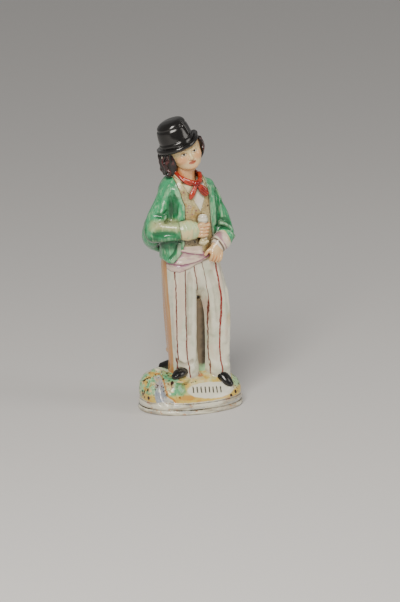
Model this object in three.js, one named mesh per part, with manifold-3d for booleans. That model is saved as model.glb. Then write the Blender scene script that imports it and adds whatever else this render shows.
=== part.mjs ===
// A double-sided Staffordshire earthenware figure: a standing man on each side of one hollow casting.
// The front man, who faces -Y, wears a black hat, green jacket, buff waistcoat and striped trousers.
// The plainer man on the back, who faces +Y, shares his hat, shoulders, legs and oval base.
// Millimetres, +Z up, with the origin at the middle of the underside.
import * as THREE from "three";
import { mergeVertices } from "three/addons/utils/BufferGeometryUtils.js";
import Module from "manifold-3d";

const wasm = await Module();
wasm.setup();

// Driving dimensions
const BASE_WIDTH = 80;
const BASE_DEPTH = 58;
const PLINTH_HEIGHT = 8.6;
const GROOVE_HEIGHT = 3.9;
const FOOT_RECESS = 1.6;
const VENT_RADIUS = 3.2;
const VENT_DEPTH = 9;
const LEG_DEPTH = 13.4;
const BODY_DEPTH = 16;
const JACKET_THICKNESS = 1.6;
const SASH_THICKNESS = 1.2;
const HEAD_CENTRE = [-3.4, -0.6, 197];
const HEAD_TILT = THREE.MathUtils.degToRad(-18);
const HEAD_TURN = THREE.MathUtils.degToRad(-8);
const HAT_CENTRE = [-8.4, 0, 201.2];
const HAT_TILT = THREE.MathUtils.degToRad(-20);
const HAT_PITCH = THREE.MathUtils.degToRad(-6);
const BRIM_RADIUS = 16.2;
const BRIM_CURL = 6.4;

const AROUND = 20;
const LIMB_AROUND = 9;

const point = ([x, y, z]) => new THREE.Vector3(x, y, z);

// Solids and joins

function solid(geometry) {
  const bare = geometry.clone();
  bare.deleteAttribute("normal");
  bare.deleteAttribute("uv");
  const merged = mergeVertices(bare, 1e-4);
  const mesh = new wasm.Mesh({
    numProp: 3,
    vertProperties: merged.attributes.position.array,
    triVerts: new Uint32Array(merged.index.array),
  });
  return new wasm.Manifold(mesh);
}

const join = (...solids) => solids.flat().reduce((a, b) => a.add(b));

// One closed skin through a list of rings, each an array of Vector3 with the same count.
// A point at the middle of the first and last ring closes the ends.
function skin(rings) {
  const count = rings[0].length;
  const middle = (ring) => ring.reduce((sum, p) => sum.add(p), new THREE.Vector3()).divideScalar(count);
  const points = [...rings.flat(), middle(rings[0]), middle(rings.at(-1))];
  const first = points.length - 2;
  const last = points.length - 1;
  const index = [];
  for (let i = 0; i < count; i++) {
    const next = (i + 1) % count;
    for (let r = 0; r < rings.length - 1; r++) {
      const a = r * count;
      const b = a + count;
      index.push(a + i, a + next, b + next, a + i, b + next, b + i);
    }
    const top = (rings.length - 1) * count;
    index.push(first, next, i, last, top + i, top + next);
  }
  const geometry = new THREE.BufferGeometry().setFromPoints(points);
  geometry.setIndex(index);
  return solid(geometry);
}

// A point of a superellipse: power 2 is an ellipse, and a higher power is squarer.
function onOval(angle, a, b, power) {
  const c = Math.cos(angle);
  const s = Math.sin(angle);
  const reach = (Math.abs(c) ** power + Math.abs(s) ** power) ** (-1 / power);
  return [a * c * reach, b * s * reach];
}

// Smooth values between rows of numbers, with the first column as the parameter.
function between(rows, steps) {
  const curves = rows[0].map((_, k) => rows.map((row) => row[k]));
  const at = (values, t) => {
    const place = t * (values.length - 1);
    const i = Math.min(Math.floor(place), values.length - 2);
    const pick = (j) => values[Math.max(0, Math.min(values.length - 1, j))];
    const [a, b, c, d] = [pick(i - 1), pick(i), pick(i + 1), pick(i + 2)];
    const f = place - i;
    return b + 0.5 * f * (c - a + f * (2 * a - 5 * b + 4 * c - d + f * (3 * (b - c) + d - a)));
  };
  return Array.from({ length: steps + 1 }, (_, s) => curves.map((values) => at(values, s / steps)));
}

// An upright form: each row is [height, centre x, centre y, half-width, half-depth], upwards.
function column(rows, { power = 2, around = AROUND, grow = 0, steps = rows.length * 2 - 2 } = {}) {
  const rings = between(rows, steps).map(([z, x, y, a, b]) =>
    Array.from({ length: around }, (_, i) => {
      const [u, v] = onOval((2 * Math.PI * i) / around, a + grow, b + grow, power);
      return new THREE.Vector3(x + u, y + v, z);
    }),
  );
  return skin(rings);
}

// A limb or fold along a curve: each row is [x, y, z, half-width, half-thickness].
// The thickness lies as near to the given direction as the curve allows, and both ends are rounded.
function limb(rows, { flat = [0, 1, 0], around = LIMB_AROUND, steps = rows.length } = {}) {
  const path = new THREE.CatmullRomCurve3(rows.map(point));
  const sizes = between(
    rows.map((row) => row.slice(3)),
    steps,
  );
  const ringAt = (t, shrink, push) => {
    const along = path.getTangent(t);
    const thick = new THREE.Vector3(...flat).projectOnPlane(along).normalize();
    const wide = new THREE.Vector3().crossVectors(thick, along);
    const [a, b = a] = sizes[Math.round(t * steps)];
    const centre = path.getPoint(t).addScaledVector(along, push * Math.min(a, b));
    return Array.from({ length: around }, (_, i) => {
      const [u, v] = onOval((2 * Math.PI * i) / around, a * shrink, b * shrink, 2);
      return centre.clone().addScaledVector(wide, u).addScaledVector(thick, v);
    });
  };
  const rings = [ringAt(0, 0.5, -0.85)];
  for (let s = 0; s <= steps; s++) rings.push(ringAt(s / steps, 1, 0));
  rings.push(ringAt(1, 0.5, 0.85));
  return skin(rings);
}

function ball([x, y, z], [a, b, c], { around = 8, high = 5 } = {}) {
  const shape = new THREE.SphereGeometry(1, around, high).rotateX(Math.PI / 2).scale(a, b, c);
  return solid(shape.translate(x, y, z));
}

// A turned form: each pair is [radius, height], from the bottom up, starting and ending on the axis.
function turned(profile, { around = 16, place = new THREE.Matrix4() } = {}) {
  const outline = profile.map(([r, h]) => new THREE.Vector2(r, h));
  const shape = new THREE.LatheGeometry(outline, around).rotateX(Math.PI / 2);
  return solid(shape.applyMatrix4(place));
}

// A flat outline in X and Z, pushed through from one Y to another.
function cutter(outline, fromY, toY) {
  const shape = new THREE.Shape(outline.map(([x, z]) => new THREE.Vector2(x, z)));
  const depth = toY - fromY;
  const block = new THREE.ExtrudeGeometry(shape, { depth, bevelEnabled: false });
  return solid(block.rotateX(Math.PI / 2).translate(0, toY, 0));
}

// Base

const HALF_WIDTH = BASE_WIDTH / 2;
const HALF_DEPTH = BASE_DEPTH / 2;

function plinth() {
  const inset = (z, by) => [z, 0, 0, HALF_WIDTH - by, HALF_DEPTH - by];
  const lowerTorus = [inset(0, 0.9), inset(0.9, 0), inset(3.1, 0), inset(GROOVE_HEIGHT, 0.9)];
  const upperBand = [inset(4.7, 0.5), inset(PLINTH_HEIGHT, 1.5), inset(PLINTH_HEIGHT + 0.8, 2.2)];
  const rows = [...lowerTorus, ...upperBand];
  return column(rows, { power: 2.15, around: 36, steps: rows.length - 1 });
}

// The mound is steep at the sides and back and slopes gently at the front.
// A rocky bank rises at the front man's right.
function mound() {
  const rows = [
    [PLINTH_HEIGHT - 1, 0, 0, HALF_WIDTH - 1.3, HALF_DEPTH - 1.5],
    [12.5, 0, 0.6, 38.9, 25.4],
    [17, 0, 1.4, 37.4, 21.8],
    [21, -0.8, 2, 33.6, 18],
    [24, -3, 2, 27.4, 14.4],
    [26.5, -6, 2, 14, 9],
  ];
  const bank = [
    ball([-27, 4, 17.5], [11.6, 12, 11], { around: 12, high: 6 }),
    ball([-30, -6, 12.5], [8, 10, 9.4]),
    ball([-18, -10, 15], [9, 10.6, 9.4], { high: 4 }),
    ball([-18, 12, 17], [9.6, 9, 11], { high: 4 }),
  ];
  return join(column(rows, { power: 2.3, around: 28, steps: 5 }), bank);
}

function underside() {
  const inset = 4;
  const recess = column(
    [
      [-1, 0, 0, HALF_WIDTH - inset, HALF_DEPTH - inset],
      [FOOT_RECESS, 0, 0, HALF_WIDTH - inset - 1.5, HALF_DEPTH - inset - 1.5],
    ],
    { around: 24, steps: 1 },
  );
  const vent = turned([
    [0, 0],
    [VENT_RADIUS, 0],
    [VENT_RADIUS, VENT_DEPTH],
    [0, VENT_DEPTH + 1.5],
  ]);
  return join(recess, vent);
}

// Legs and hips

function legs() {
  const left = [
    [20, -4.6, 0.4, 10.6, LEG_DEPTH],
    [30, -5, 0.4, 10.3, LEG_DEPTH],
    [40, -5.8, 0.4, 10, LEG_DEPTH - 0.5],
    [55, -6.6, 0.3, 10.2, LEG_DEPTH],
    [72, -7.4, 0.2, 10.5, LEG_DEPTH + 0.4],
    [90, -8.2, 0, 11.2, LEG_DEPTH + 1],
    [107, -8.8, 0, 11.7, LEG_DEPTH + 1.8],
    [115, -8.4, 0, 11, LEG_DEPTH + 1.8],
  ];
  const right = [
    [14, 20, 0.4, 10.8, LEG_DEPTH],
    [28, 20, 0.4, 10.4, LEG_DEPTH],
    [40, 19.8, 0.3, 10.1, LEG_DEPTH - 0.5],
    [55, 19.7, 0.2, 10.1, LEG_DEPTH],
    [72, 19.2, 0, 10.4, LEG_DEPTH + 0.4],
    [90, 16.2, 0, 11.6, LEG_DEPTH + 1],
    [107, 11.8, 0, 11.6, LEG_DEPTH + 1.8],
    [118, 10.6, 0, 11, LEG_DEPTH + 1.8],
  ];
  const web = [
    [16, 7, 0.5, 9, 4.4],
    [60, 6.6, 0.5, 9, 4.4],
    [80, 5.4, 0.5, 10, 5.5],
    [91, 3.8, 0.2, 11, LEG_DEPTH - 2.2],
    [101, 2.4, 0, 12, LEG_DEPTH + 0.9],
  ];
  const shape = { power: 2.3, around: 16, steps: 7 };
  return join(column(left, shape), column(right, shape), column(web, { around: 12, steps: 4 }));
}

const TORSO = [
  [99, 2.2, 0, 18, BODY_DEPTH - 3.4],
  [106, 1.8, 0, 20.6, BODY_DEPTH - 1.4],
  [114, 0.9, 0, 21.6, BODY_DEPTH],
  [124, 0.1, 0, 20.8, BODY_DEPTH],
  [136, -0.6, 0, 20.4, BODY_DEPTH],
  [148, -1, 0, 20.6, BODY_DEPTH],
  [158, -1.3, 0, 20.6, BODY_DEPTH - 0.4],
  [166, -2.2, 0, 19, BODY_DEPTH - 1],
  [172, -3, 0, 15.4, BODY_DEPTH - 3],
  [177, -3, 0, 10.4, BODY_DEPTH - 5.8],
  [182, -2.6, 0, 6, BODY_DEPTH - 9],
];

function torso() {
  return column(TORSO, { power: 2.2, steps: 10 });
}

// The sash is a low band across the front man's hips, with its own lower edge.
function sash() {
  const outline = [
    [-23, 107],
    [-12, 107.2],
    [-4, 110],
    [4, 114],
    [14, 117],
    [14, 125],
    [-13, 126.5],
  ];
  const band = column(TORSO.slice(1, 5), { power: 2.2, grow: SASH_THICKNESS, steps: 4 });
  return band.intersect(cutter(outline, -BODY_DEPTH - 6, -1));
}

// Jacket

const FRONT_OPENING = [
  [-14, 190],
  [-13.9, 167],
  [-10.6, 156],
  [-10.2, 140],
  [-12.5, 129.7],
  [-18.4, 115.3],
  [-23.5, 116.5],
  [-26, 110],
  [22, 104],
  [19, 114],
  [14.6, 126],
  [11.8, 144],
  [10.8, 157],
  [10, 168],
  [8, 190],
];

const BACK_OPENING = [
  [-10, 190],
  [-9, 166],
  [-7.5, 150],
  [-8, 132],
  [-13, 112],
  [-16, 104],
  [15, 104],
  [12, 112],
  [7, 132],
  [6.5, 150],
  [7, 166],
  [8, 190],
];

function jacket() {
  const rows = [[111.5, 1.2, 0, 22.6, BODY_DEPTH], ...TORSO.slice(2, 10)];
  const cloth = column(rows, { power: 2.2, grow: JACKET_THICKNESS, steps: 8 });
  const frontCut = cutter(FRONT_OPENING, -BODY_DEPTH - 6, 0);
  const backCut = cutter(BACK_OPENING, 0, BODY_DEPTH + 6);
  return cloth.subtract(frontCut).subtract(backCut);
}

// The jacket's turned-back skirts under the elbows
function skirts() {
  const left = [
    [-19, -6, 134, 9.5, 8.5],
    [-19.6, -6.6, 125, 7.4, 7.8],
    [-20.2, -7, 117, 4.8, 6.6],
  ];
  const right = [
    [21, -4, 132, 6, 8],
    [21.4, -4, 122, 5, 8],
    [21.4, -4, 116, 3.6, 7],
  ];
  return join(limb(left), limb(right));
}

// Arms

function frontArms() {
  const upperRight = [
    [-16, 0, 167, 7.5, 8.5],
    [-23, -1, 156.5, 8.4, 9],
    [-27, -2, 146, 9, 9.4],
    [-28.6, -3.5, 136.5, 8.6, 9],
  ];
  const foreRight = [
    [-28.4, -5, 136, 8, 8.4],
    [-22.6, -11, 136.8, 7.2, 7.6],
    [-14.8, -15.6, 137.2, 6.8, 6.6],
  ];
  const cuffRight = [
    [-13.8, -16.4, 137.4, 7, 6],
    [-8, -18, 137.8, 7.4, 6],
    [-2.6, -18.8, 138, 6.8, 5.2],
  ];
  const upperLeft = [
    [14, 0, 165, 7.2, 8.5],
    [20.4, -1, 154, 8, 9],
    [24.6, -2, 142, 8.4, 9],
    [26, -3.5, 131, 7.8, 8.4],
  ];
  const foreLeft = [
    [25.6, -5, 130, 7.6, 8],
    [23.6, -11, 128.4, 6.8, 7.4],
    [20, -15, 126.6, 6.4, 6.4],
  ];
  const cuffLeft = [
    [19.6, -15.2, 126.4, 7, 6.8],
    [17, -17, 124.8, 6.8, 6],
  ];
  return join([upperRight, foreRight, cuffRight, upperLeft, foreLeft, cuffLeft].map((rows) => limb(rows)));
}

// The back man's forearms run into his jacket pockets.
function backArms() {
  const sides = [-1, 1].map((side) => {
    const out = side < 0 ? -25.4 : 24;
    const pocket = side < 0 ? -16 : 14;
    return limb([
      [out, 4, 139, 8, 8],
      [out + side * 0.4, 8, 131, 7.6, 7.6],
      [(out + pocket) / 2 + side * 2, 14.5, 125, 6.6, 6.4],
      [pocket, 17, 120, 5.4, 4.4],
    ]);
  });
  return join(sides);
}

// Hands: a palm and four fingers, each curled by a short curve.
function hands() {
  const rightPalm = ball([1.7, -19.2, 138.8], [4.4, 4, 5]);
  const rightFingers = [0, 1, 2, 3].map((i) => {
    const z = 142.4 - i * 2.5;
    const reach = 6.7 - i * 0.5;
    return limb(
      [
        [2.3, -21.8, z, 1.45],
        [reach, -23, z + 0.3, 1.4],
        [reach + 0.6, -20.4, z + 0.5, 1.3],
      ],
      { around: 6, steps: 2 },
    );
  });
  const rightThumb = limb(
    [
      [-0.7, -21.2, 141.6, 1.6],
      [1.7, -22.8, 144.4, 1.5],
      [3.9, -22.8, 145.2, 1.3],
    ],
    { around: 6, steps: 3 },
  );
  const leftPalm = limb(
    [
      [16.4, -17.6, 124.6, 5, 4],
      [12.6, -19, 121, 5.6, 3.6],
      [10.4, -19, 118.4, 4.4, 2.8],
    ],
    { steps: 3 },
  );
  const leftFingers = [0, 1, 2, 3].map((i) => {
    const x = 7.4 + i * 2.3;
    return limb(
      [
        [x + 1.6, -20.4, 119.4 - i * 0.6, 1.5],
        [x + 0.4, -20.6, 115.6 - i * 0.9, 1.4],
        [x, -18.8, 112.8 - i * 0.5, 1.2],
      ],
      { around: 6, steps: 2 },
    );
  });
  return join(rightPalm, rightFingers, rightThumb, leftPalm, leftFingers);
}

function goblet() {
  const profile = [
    [0, 0],
    [3.6, 0],
    [3.6, 1],
    [1.3, 2.4],
    [1.3, 11],
    [3.4, 14],
    [4.2, 17.5],
    [3.9, 20],
    [0, 20],
  ];
  const place = new THREE.Matrix4().makeTranslation(4.4, -20, 129.6);
  return turned(profile, { around: 12, place });
}

// Neck and kerchief

function neck() {
  return limb(
    [
      [-2.6, 0, 172, 8.4, 8.8],
      [-2.2, -0.4, 179, 6.8, 7],
      [-2, -0.8, 187, 6.8, 7.4],
    ],
    { steps: 4 },
  );
}

function kerchief(side) {
  const y = (value) => value * side;
  const collar = limb(
    [
      [-11.4, y(-1), 181, 2.4, 2.2],
      [-10, y(-7.4), 179.6, 2.4, 2.2],
      [-5.8, y(-11.6), 176.8, 2.4, 2.2],
      [0.6, y(-13.2), 174, 2.6, 2.4],
      [5.2, y(-10.6), 175.6, 2.4, 2.2],
      [6.6, y(-5.6), 176.6, 2.4, 2.2],
      [6, y(-1), 177, 2.4, 2.2],
    ],
    { around: 6, steps: 6 },
  );
  const knot = ball([0.6, y(-14.6), 173.8], [2.9, 2.4, 2.9], { high: 4 });
  const tails = [
    [
      [0, y(-14.8), 172.4, 1.6, 1.4],
      [-2.6, y(-16), 167.4, 2.4, 1.6],
      [-4.8, y(-16.6), 163.2, 1.8, 1.2],
    ],
    [
      [1.4, y(-14.8), 172.4, 1.6, 1.4],
      [4.4, y(-15.6), 168.4, 2.8, 1.8],
      [7, y(-16), 164.6, 2.8, 1.6],
    ],
  ].map((rows) => limb(rows, { around: 6, steps: 3 }));
  return join(collar, knot, tails);
}

// Head: each form is made in the head's own frame, with the face towards -Y and the eyes at height 0.
// It is then turned, tilted and moved into place.
function placeHead(turn) {
  const place = new THREE.Matrix4().makeTranslation(...HEAD_CENTRE);
  place.multiply(new THREE.Matrix4().makeRotationY(HEAD_TILT));
  return place.multiply(new THREE.Matrix4().makeRotationZ(turn));
}

const placed = (shape, matrix) => shape.transform(matrix.elements);

function face() {
  const rows = [
    [-14.6, 0, -6.6, 3, 3.2],
    [-13.4, 0, -5.6, 5.4, 5.6],
    [-10.5, 0, -3.4, 7.8, 8.4],
    [-6, 0, -1.4, 9.6, 10.8],
    [0, 0, -0.6, 10.5, 11.4],
    [6, 0, 0, 10.4, 11.4],
    [10, 0, 0.4, 9.2, 10.4],
  ];
  const nose = limb(
    [
      [0, -11.6, 0.4, 0.9, 0.8],
      [0, -13, -3, 1.2, 1],
      [0, -13.4, -5.2, 1.7, 1.2],
    ],
    { around: 6, steps: 2 },
  );
  const lips = ball([0, -11, -8.6], [2.6, 1.5, 1.3], { around: 6, high: 4 });
  const chin = ball([0, -9.6, -13], [2.8, 2.4, 2.2], { around: 6, high: 4 });
  return join(column(rows, { around: 14, steps: 7 }), nose, lips, chin);
}

// Curls fall to the collar on the front man's right, and stop at the ear on his left.
function hair() {
  const side = (out, locks) => {
    const curls = Array.from({ length: locks }, (_, i) => {
      const down = 3 - i * 5.4;
      const swell = out + Math.sign(out) * 0.5 * Math.sin(i * 2);
      return ball([swell, 0.4, down], [3.4, 6.2, 3.8], { high: 4 });
    });
    return join(curls);
  };
  return join(side(-12.6, 4), side(10.8, 2));
}

// The brim curls up at both sides, and more at the front man's left.
function brim() {
  const root = 11;
  const rows = [
    [-1.4, root - 0.4],
    [-1.2, BRIM_RADIUS - 1.4],
    [0, BRIM_RADIUS],
    [1.4, BRIM_RADIUS - 0.8],
    [1, root],
  ];
  const around = 24;
  const ring = ([z, radius]) =>
    Array.from({ length: around }, (_, k) => {
      const angle = (2 * Math.PI * k) / around;
      const out = Math.max(0, (radius - root) / (BRIM_RADIUS - root));
      const lift = Math.cos(angle) > 0 ? BRIM_CURL : BRIM_CURL * 0.4;
      const curl = lift * out ** 1.5 * Math.abs(Math.cos(angle)) ** 3;
      const reach = radius - 0.2 * curl;
      return new THREE.Vector3(reach * Math.cos(angle), reach * Math.sin(angle), z + curl);
    });
  return skin(rows.map(ring));
}

// The crown leans less than the brim, and its top edge is soft.
function crown() {
  const rows = [
    [0, 0, 0, 12.8, 12.6],
    [5, -0.3, 0, 13, 12.6],
    [10, -0.2, 0, 12, 11.8],
    [14.5, 0.4, 0, 10.4, 10.4],
    [16.8, 1, 0, 8, 8.2],
    [17.8, 1.4, 0, 4.6, 5],
  ];
  return column(rows, { steps: 6 });
}

function head() {
  const front = placeHead(HEAD_TURN);
  const back = placeHead(Math.PI);
  const hat = new THREE.Matrix4().makeTranslation(...HAT_CENTRE);
  hat.multiply(new THREE.Matrix4().makeRotationFromEuler(new THREE.Euler(HAT_PITCH, HAT_TILT, 0, "YXZ")));
  return join(
    placed(face(), front),
    placed(face(), back),
    placed(hair(), placeHead(0)),
    placed(brim(), hat),
    placed(crown(), hat),
  );
}

// Shoes: each is a sole along its own direction, splayed outwards.
function shoe([x, y, z], heading, droop) {
  const away = THREE.MathUtils.degToRad(heading);
  const ahead = (d) => [x + d * Math.sin(away), y - d * Math.cos(away), z - d * droop];
  const rows = [
    [...ahead(0), 5, 4.4],
    [...ahead(5), 5, 4],
    [...ahead(9.5), 4.6, 3.2],
    [...ahead(12.5), 3.4, 2.4],
  ];
  return limb(rows, { flat: [0, 0, 1], around: 8, steps: 4 });
}

function shoes() {
  return join(
    shoe([-8, -8, 28], -42, 0.12),
    shoe([18.6, -8, 23.4], 24, 0.3),
    shoe([-10, 8, 28.2], -140, 0.05),
    shoe([20, 8, 23.4], 158, 0.2),
  );
}

// Assembly

function casting() {
  const body = join(plinth(), mound(), legs(), torso(), sash(), jacket(), skirts());
  const upper = join(frontArms(), backArms(), hands(), goblet(), neck(), kerchief(1), kerchief(-1), head());
  return join(body, upper, shoes()).subtract(underside());
}

function geometryOf(manifold) {
  const mesh = manifold.getMesh();
  const geometry = new THREE.BufferGeometry();
  geometry.setAttribute("position", new THREE.BufferAttribute(new Float32Array(mesh.vertProperties), 3));
  geometry.setIndex(new THREE.BufferAttribute(mesh.triVerts, 1));
  geometry.computeVertexNormals();
  return geometry;
}

const glaze = new THREE.MeshStandardMaterial({ color: 0xd9d6c6, roughness: 0.2, metalness: 0 });
const figure = new THREE.Mesh(geometryOf(casting()), glaze);
figure.name = "figure";

const part = new THREE.Group();
part.add(figure);
export default part;
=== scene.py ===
import math

import bpy
import numpy as np
from mathutils import Euler, Matrix, Vector


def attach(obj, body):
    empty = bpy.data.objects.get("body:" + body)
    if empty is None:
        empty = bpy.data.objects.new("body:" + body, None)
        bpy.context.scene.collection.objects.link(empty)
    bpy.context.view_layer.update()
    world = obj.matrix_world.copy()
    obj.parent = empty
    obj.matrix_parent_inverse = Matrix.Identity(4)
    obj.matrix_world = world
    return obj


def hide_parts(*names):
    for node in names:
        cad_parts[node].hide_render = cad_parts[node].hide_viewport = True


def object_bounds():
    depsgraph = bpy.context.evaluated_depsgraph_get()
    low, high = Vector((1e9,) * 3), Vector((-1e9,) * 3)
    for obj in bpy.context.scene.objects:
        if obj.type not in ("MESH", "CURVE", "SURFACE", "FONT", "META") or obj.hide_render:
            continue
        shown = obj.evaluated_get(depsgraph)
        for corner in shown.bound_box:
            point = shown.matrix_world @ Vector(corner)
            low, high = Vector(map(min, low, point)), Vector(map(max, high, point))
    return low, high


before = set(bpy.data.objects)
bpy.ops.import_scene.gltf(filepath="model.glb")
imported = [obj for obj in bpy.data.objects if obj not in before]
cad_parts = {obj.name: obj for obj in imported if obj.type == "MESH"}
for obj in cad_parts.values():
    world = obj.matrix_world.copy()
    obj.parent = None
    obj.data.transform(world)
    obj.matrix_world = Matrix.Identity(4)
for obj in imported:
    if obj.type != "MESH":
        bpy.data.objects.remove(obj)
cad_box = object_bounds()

# The figure is sculpted as a distance field in millimetres, in the frame of the CAD model.
# The front man faces -Y and the plainer man at the back faces +Y.

MM = 0.001
TRIANGLES = 190000
FAR = 12.0
MARGIN = 3.0
PORTION = 12000


# Numbers and distances


def between(rows, count):
    """Smooth values through rows of numbers."""
    rows = np.asarray(rows, float)
    place = np.linspace(0, len(rows) - 1, count)
    i = np.minimum(place.astype(int), len(rows) - 2)
    f = (place - i)[:, None]
    a, b, c, d = (rows[np.clip(i + k, 0, len(rows) - 1)] for k in (-1, 0, 1, 2))
    return b + 0.5 * f * (c - a + f * (2 * a - 5 * b + 4 * c - d + f * (3 * (b - c) + d - a)))


def smooth_min(a, b, radius):
    h = np.clip(0.5 + 0.5 * (b - a) / radius, 0, 1)
    return b + (a - b) * h - radius * h * (1 - h)


def smooth_max(a, b, radius):
    return -smooth_min(-a, -b, radius)


class Form:
    """A solid: the box that holds it, and its distance function, which is negative inside."""

    def __init__(self, low, high, distance):
        self.low = np.array(low, float)
        self.high = np.array(high, float)
        self.distance = distance


def column(rows, power=2.0, grow=0.0, soft=1.0):
    """An upright form: each row is (height, centre x, centre y, half-width, half-depth), upwards."""
    fine = between(rows, 12 * len(rows))
    fine[:, 3:] += grow
    z, x, y, a, b = fine.T
    slope = np.maximum(np.abs(np.gradient(a, z)), np.abs(np.gradient(b, z)))
    lean = 1 / np.sqrt(1 + slope**2)

    def distance(p):
        at = [np.interp(p[:, 2], z, values) for values in (x, y, a, b, lean)]
        u = np.abs(p[:, 0] - at[0]) / at[2] + 1e-6
        v = np.abs(p[:, 1] - at[1]) / at[3] + 1e-6
        if power == 2.0:
            up, vp = u * u, v * v
            total = up + vp
            k = np.sqrt(total)
        else:
            up, vp = u**power, v**power
            total = up + vp
            k = total ** (1 / power)
        steep = np.hypot(up / (u * at[2]), vp / (v * at[3]))
        side = (k - 1) * total / (k * steep) * at[4]
        side = np.maximum(side, -np.minimum(at[2], at[3]))
        cap = np.abs(p[:, 2] - (z[0] + z[-1]) / 2) - (z[-1] - z[0]) / 2
        return smooth_max(side, cap, soft)

    return Form([(x - a).min(), (y - b).min(), z[0]], [(x + a).max(), (y + b).max(), z[-1]], distance)


def limb(rows, flat=(0, 1, 0), count=None):
    """A form along a curve: each row is (x, y, z, half-width, half-thickness), with rounded ends.
    The thickness lies as near to the flat direction as the curve allows."""
    rows = np.array([tuple(row) + (row[3],) * (5 - len(row)) for row in rows], float)
    fine = between(rows, count or 5 * len(rows) - 4)
    centre, size = fine[:, :3], fine[:, 3:]
    along = np.gradient(centre, axis=0)
    along /= np.linalg.norm(along, axis=1)[:, None]
    thick = np.array(flat, float) - along * (along @ np.array(flat, float))[:, None]
    thick /= np.linalg.norm(thick, axis=1)[:, None]
    wide = np.cross(thick, along)
    reach = size.max(1)[:, None]

    step = np.diff(centre, axis=0)
    squared = (step**2).sum(1)
    lengths = (centre**2).sum(1)

    def distance(p):
        nearest = (lengths - 2 * p @ centre.T).argmin(1)
        offset = p - centre[nearest]
        ahead = np.einsum("ij,ij->i", offset, along[nearest]) >= 0
        i = np.clip(nearest - ~ahead, 0, len(step) - 1)
        f = np.einsum("ij,ij->i", p - centre[i], step[i]) / squared[i]
        f = np.clip(f, 0, 1)[:, None]
        blend = lambda values: values[i] * (1 - f) + values[i + 1] * f
        offset = p - blend(centre)
        half = blend(size)
        parts = [np.einsum("ij,ij->i", offset, blend(axis)) for axis in (wide, thick, along)]
        radii = [half[:, 0], half[:, 1], half.min(1)]
        return oval_distance(parts, radii)

    return Form((centre - reach).min(0), (centre + reach).max(0), distance)


def oval_distance(parts, radii):
    """Distance to an ellipsoid from offsets along its axes."""
    k = np.sqrt(sum((part / radius) ** 2 for part, radius in zip(parts, radii))) + 1e-6
    steep = np.sqrt(sum((part / radius**2) ** 2 for part, radius in zip(parts, radii))) + 1e-6
    inner = min(np.min(radius) for radius in radii)
    return np.maximum((k - 1) * k / steep, -inner)


def ball(centre, radii, turn=(0, 0, 0)):
    """An ellipsoid, turned by degrees about X, Y and Z."""
    axes = np.array(Euler([math.radians(angle) for angle in turn]).to_matrix())
    centre = np.array(centre, float)
    reach = np.abs(axes * np.array(radii, float)).sum(1)

    def distance(p):
        local = (p - centre) @ axes
        return oval_distance(local.T, radii)

    return Form(centre - reach, centre + reach, distance)


def placed(form, matrix):
    """A form made in another frame, put into place by a rigid matrix."""
    turn = np.array(matrix.to_3x3())
    shift = np.array(matrix.translation)
    corners = np.array([[(form.low, form.high)[k >> axis & 1][axis] for axis in range(3)] for k in range(8)])
    corners = corners @ turn.T + shift
    return Form(corners.min(0), corners.max(0), lambda p: form.distance((p - shift) @ turn))


def union(forms, blend, grow=0.0):
    """Several forms as one, with rounded joins, grown by a thickness."""

    def distance(p):
        field = forms[0].distance(p)
        for form in forms[1:]:
            field = smooth_min(field, form.distance(p), blend)
        return field - grow

    low = np.min([form.low for form in forms], axis=0) - grow
    high = np.max([form.high for form in forms], axis=0) + grow
    return Form(low, high, distance)


def limited(form, limit, soft=0.3):
    """The part of a form where limit(points) is negative."""
    return Form(form.low, form.high, lambda p: smooth_max(form.distance(p), limit(p), soft))


def line(points):
    """A function through (at, value) pairs, straight between them."""
    at, value = zip(*sorted(points))
    return lambda t: np.interp(t, at, value)


def unevenness(p):
    """The slight swell and sink of a hand-worked surface, in millimetres, none at the plinth."""
    x, y, z = p.T
    broad = np.sin(x / 2.3 + 1.7 * np.sin(z / 4.1)) * np.sin(z / 3.1 + y / 2.9)
    small = np.sin(x / 1.1 + y / 1.3) * np.sin(z / 1.5 - x / 2.1)
    return (0.11 * broad + 0.04 * small) * np.clip((z - 10) / 4, 0, 1)


class Sculpture:
    """Forms joined and cut in order. Each joined form belongs to a region, which is painted alike."""

    def __init__(self):
        self.steps = []

    def add(self, region, form, blend=0.4):
        self.steps.append((region, form, blend))

    def cut(self, form, blend=0.4):
        self.steps.append((None, form, blend))

    def measure(self, points, regions=()):
        """Distance to the whole surface, and to each region's own forms, at each point."""
        order = np.argsort(points[:, 2], kind="stable")
        field = np.empty(len(points))
        own = np.full((len(points), len(regions)), FAR)
        for chosen in np.array_split(order, max(1, len(order) // PORTION)):
            field[chosen], own[chosen] = self.measure_near(points[chosen], regions)
        return field + unevenness(points), own

    def measure_near(self, points, regions):
        field = np.full(len(points), FAR)
        own = np.full((len(points), len(regions)), FAR)
        low, high = points.min(0), points.max(0)
        for region, form, blend in self.steps:
            reach = MARGIN + blend
            least, most = form.low - reach, form.high + reach
            if (least > high).any() or (most < low).any():
                continue
            near = np.flatnonzero(((points > least) & (points < most)).all(1))
            if not near.size:
                continue
            apart = form.distance(points[near])
            if region:
                field[near] = smooth_min(field[near], apart, blend)
                if regions:
                    k = regions.index(region)
                    own[near, k] = np.minimum(own[near, k], apart)
            else:
                field[near] = smooth_max(field[near], -apart, blend)
                own[near] = np.maximum(own[near], -apart[:, None])
        return field, own


# The sculpture

HALF_WIDTH = 40.0
HALF_DEPTH = 29.0
PLINTH_TOP = 8.6
LEG_DEPTH = 13.4
BODY_DEPTH = 16.0
JACKET = 1.5
HEAD_CENTRE = (-3.6, -0.8, 195.4)
HEAD_TILT = -18
HEAD_TURN = -2
HAT_CENTRE = (-8.4, 0, 201.2)
HAT_TILT = -20
HAT_PITCH = -5

figure = Sculpture()


def scatter(seed, count):
    return np.random.RandomState(seed).uniform(-1, 1, (count, 3))


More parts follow.
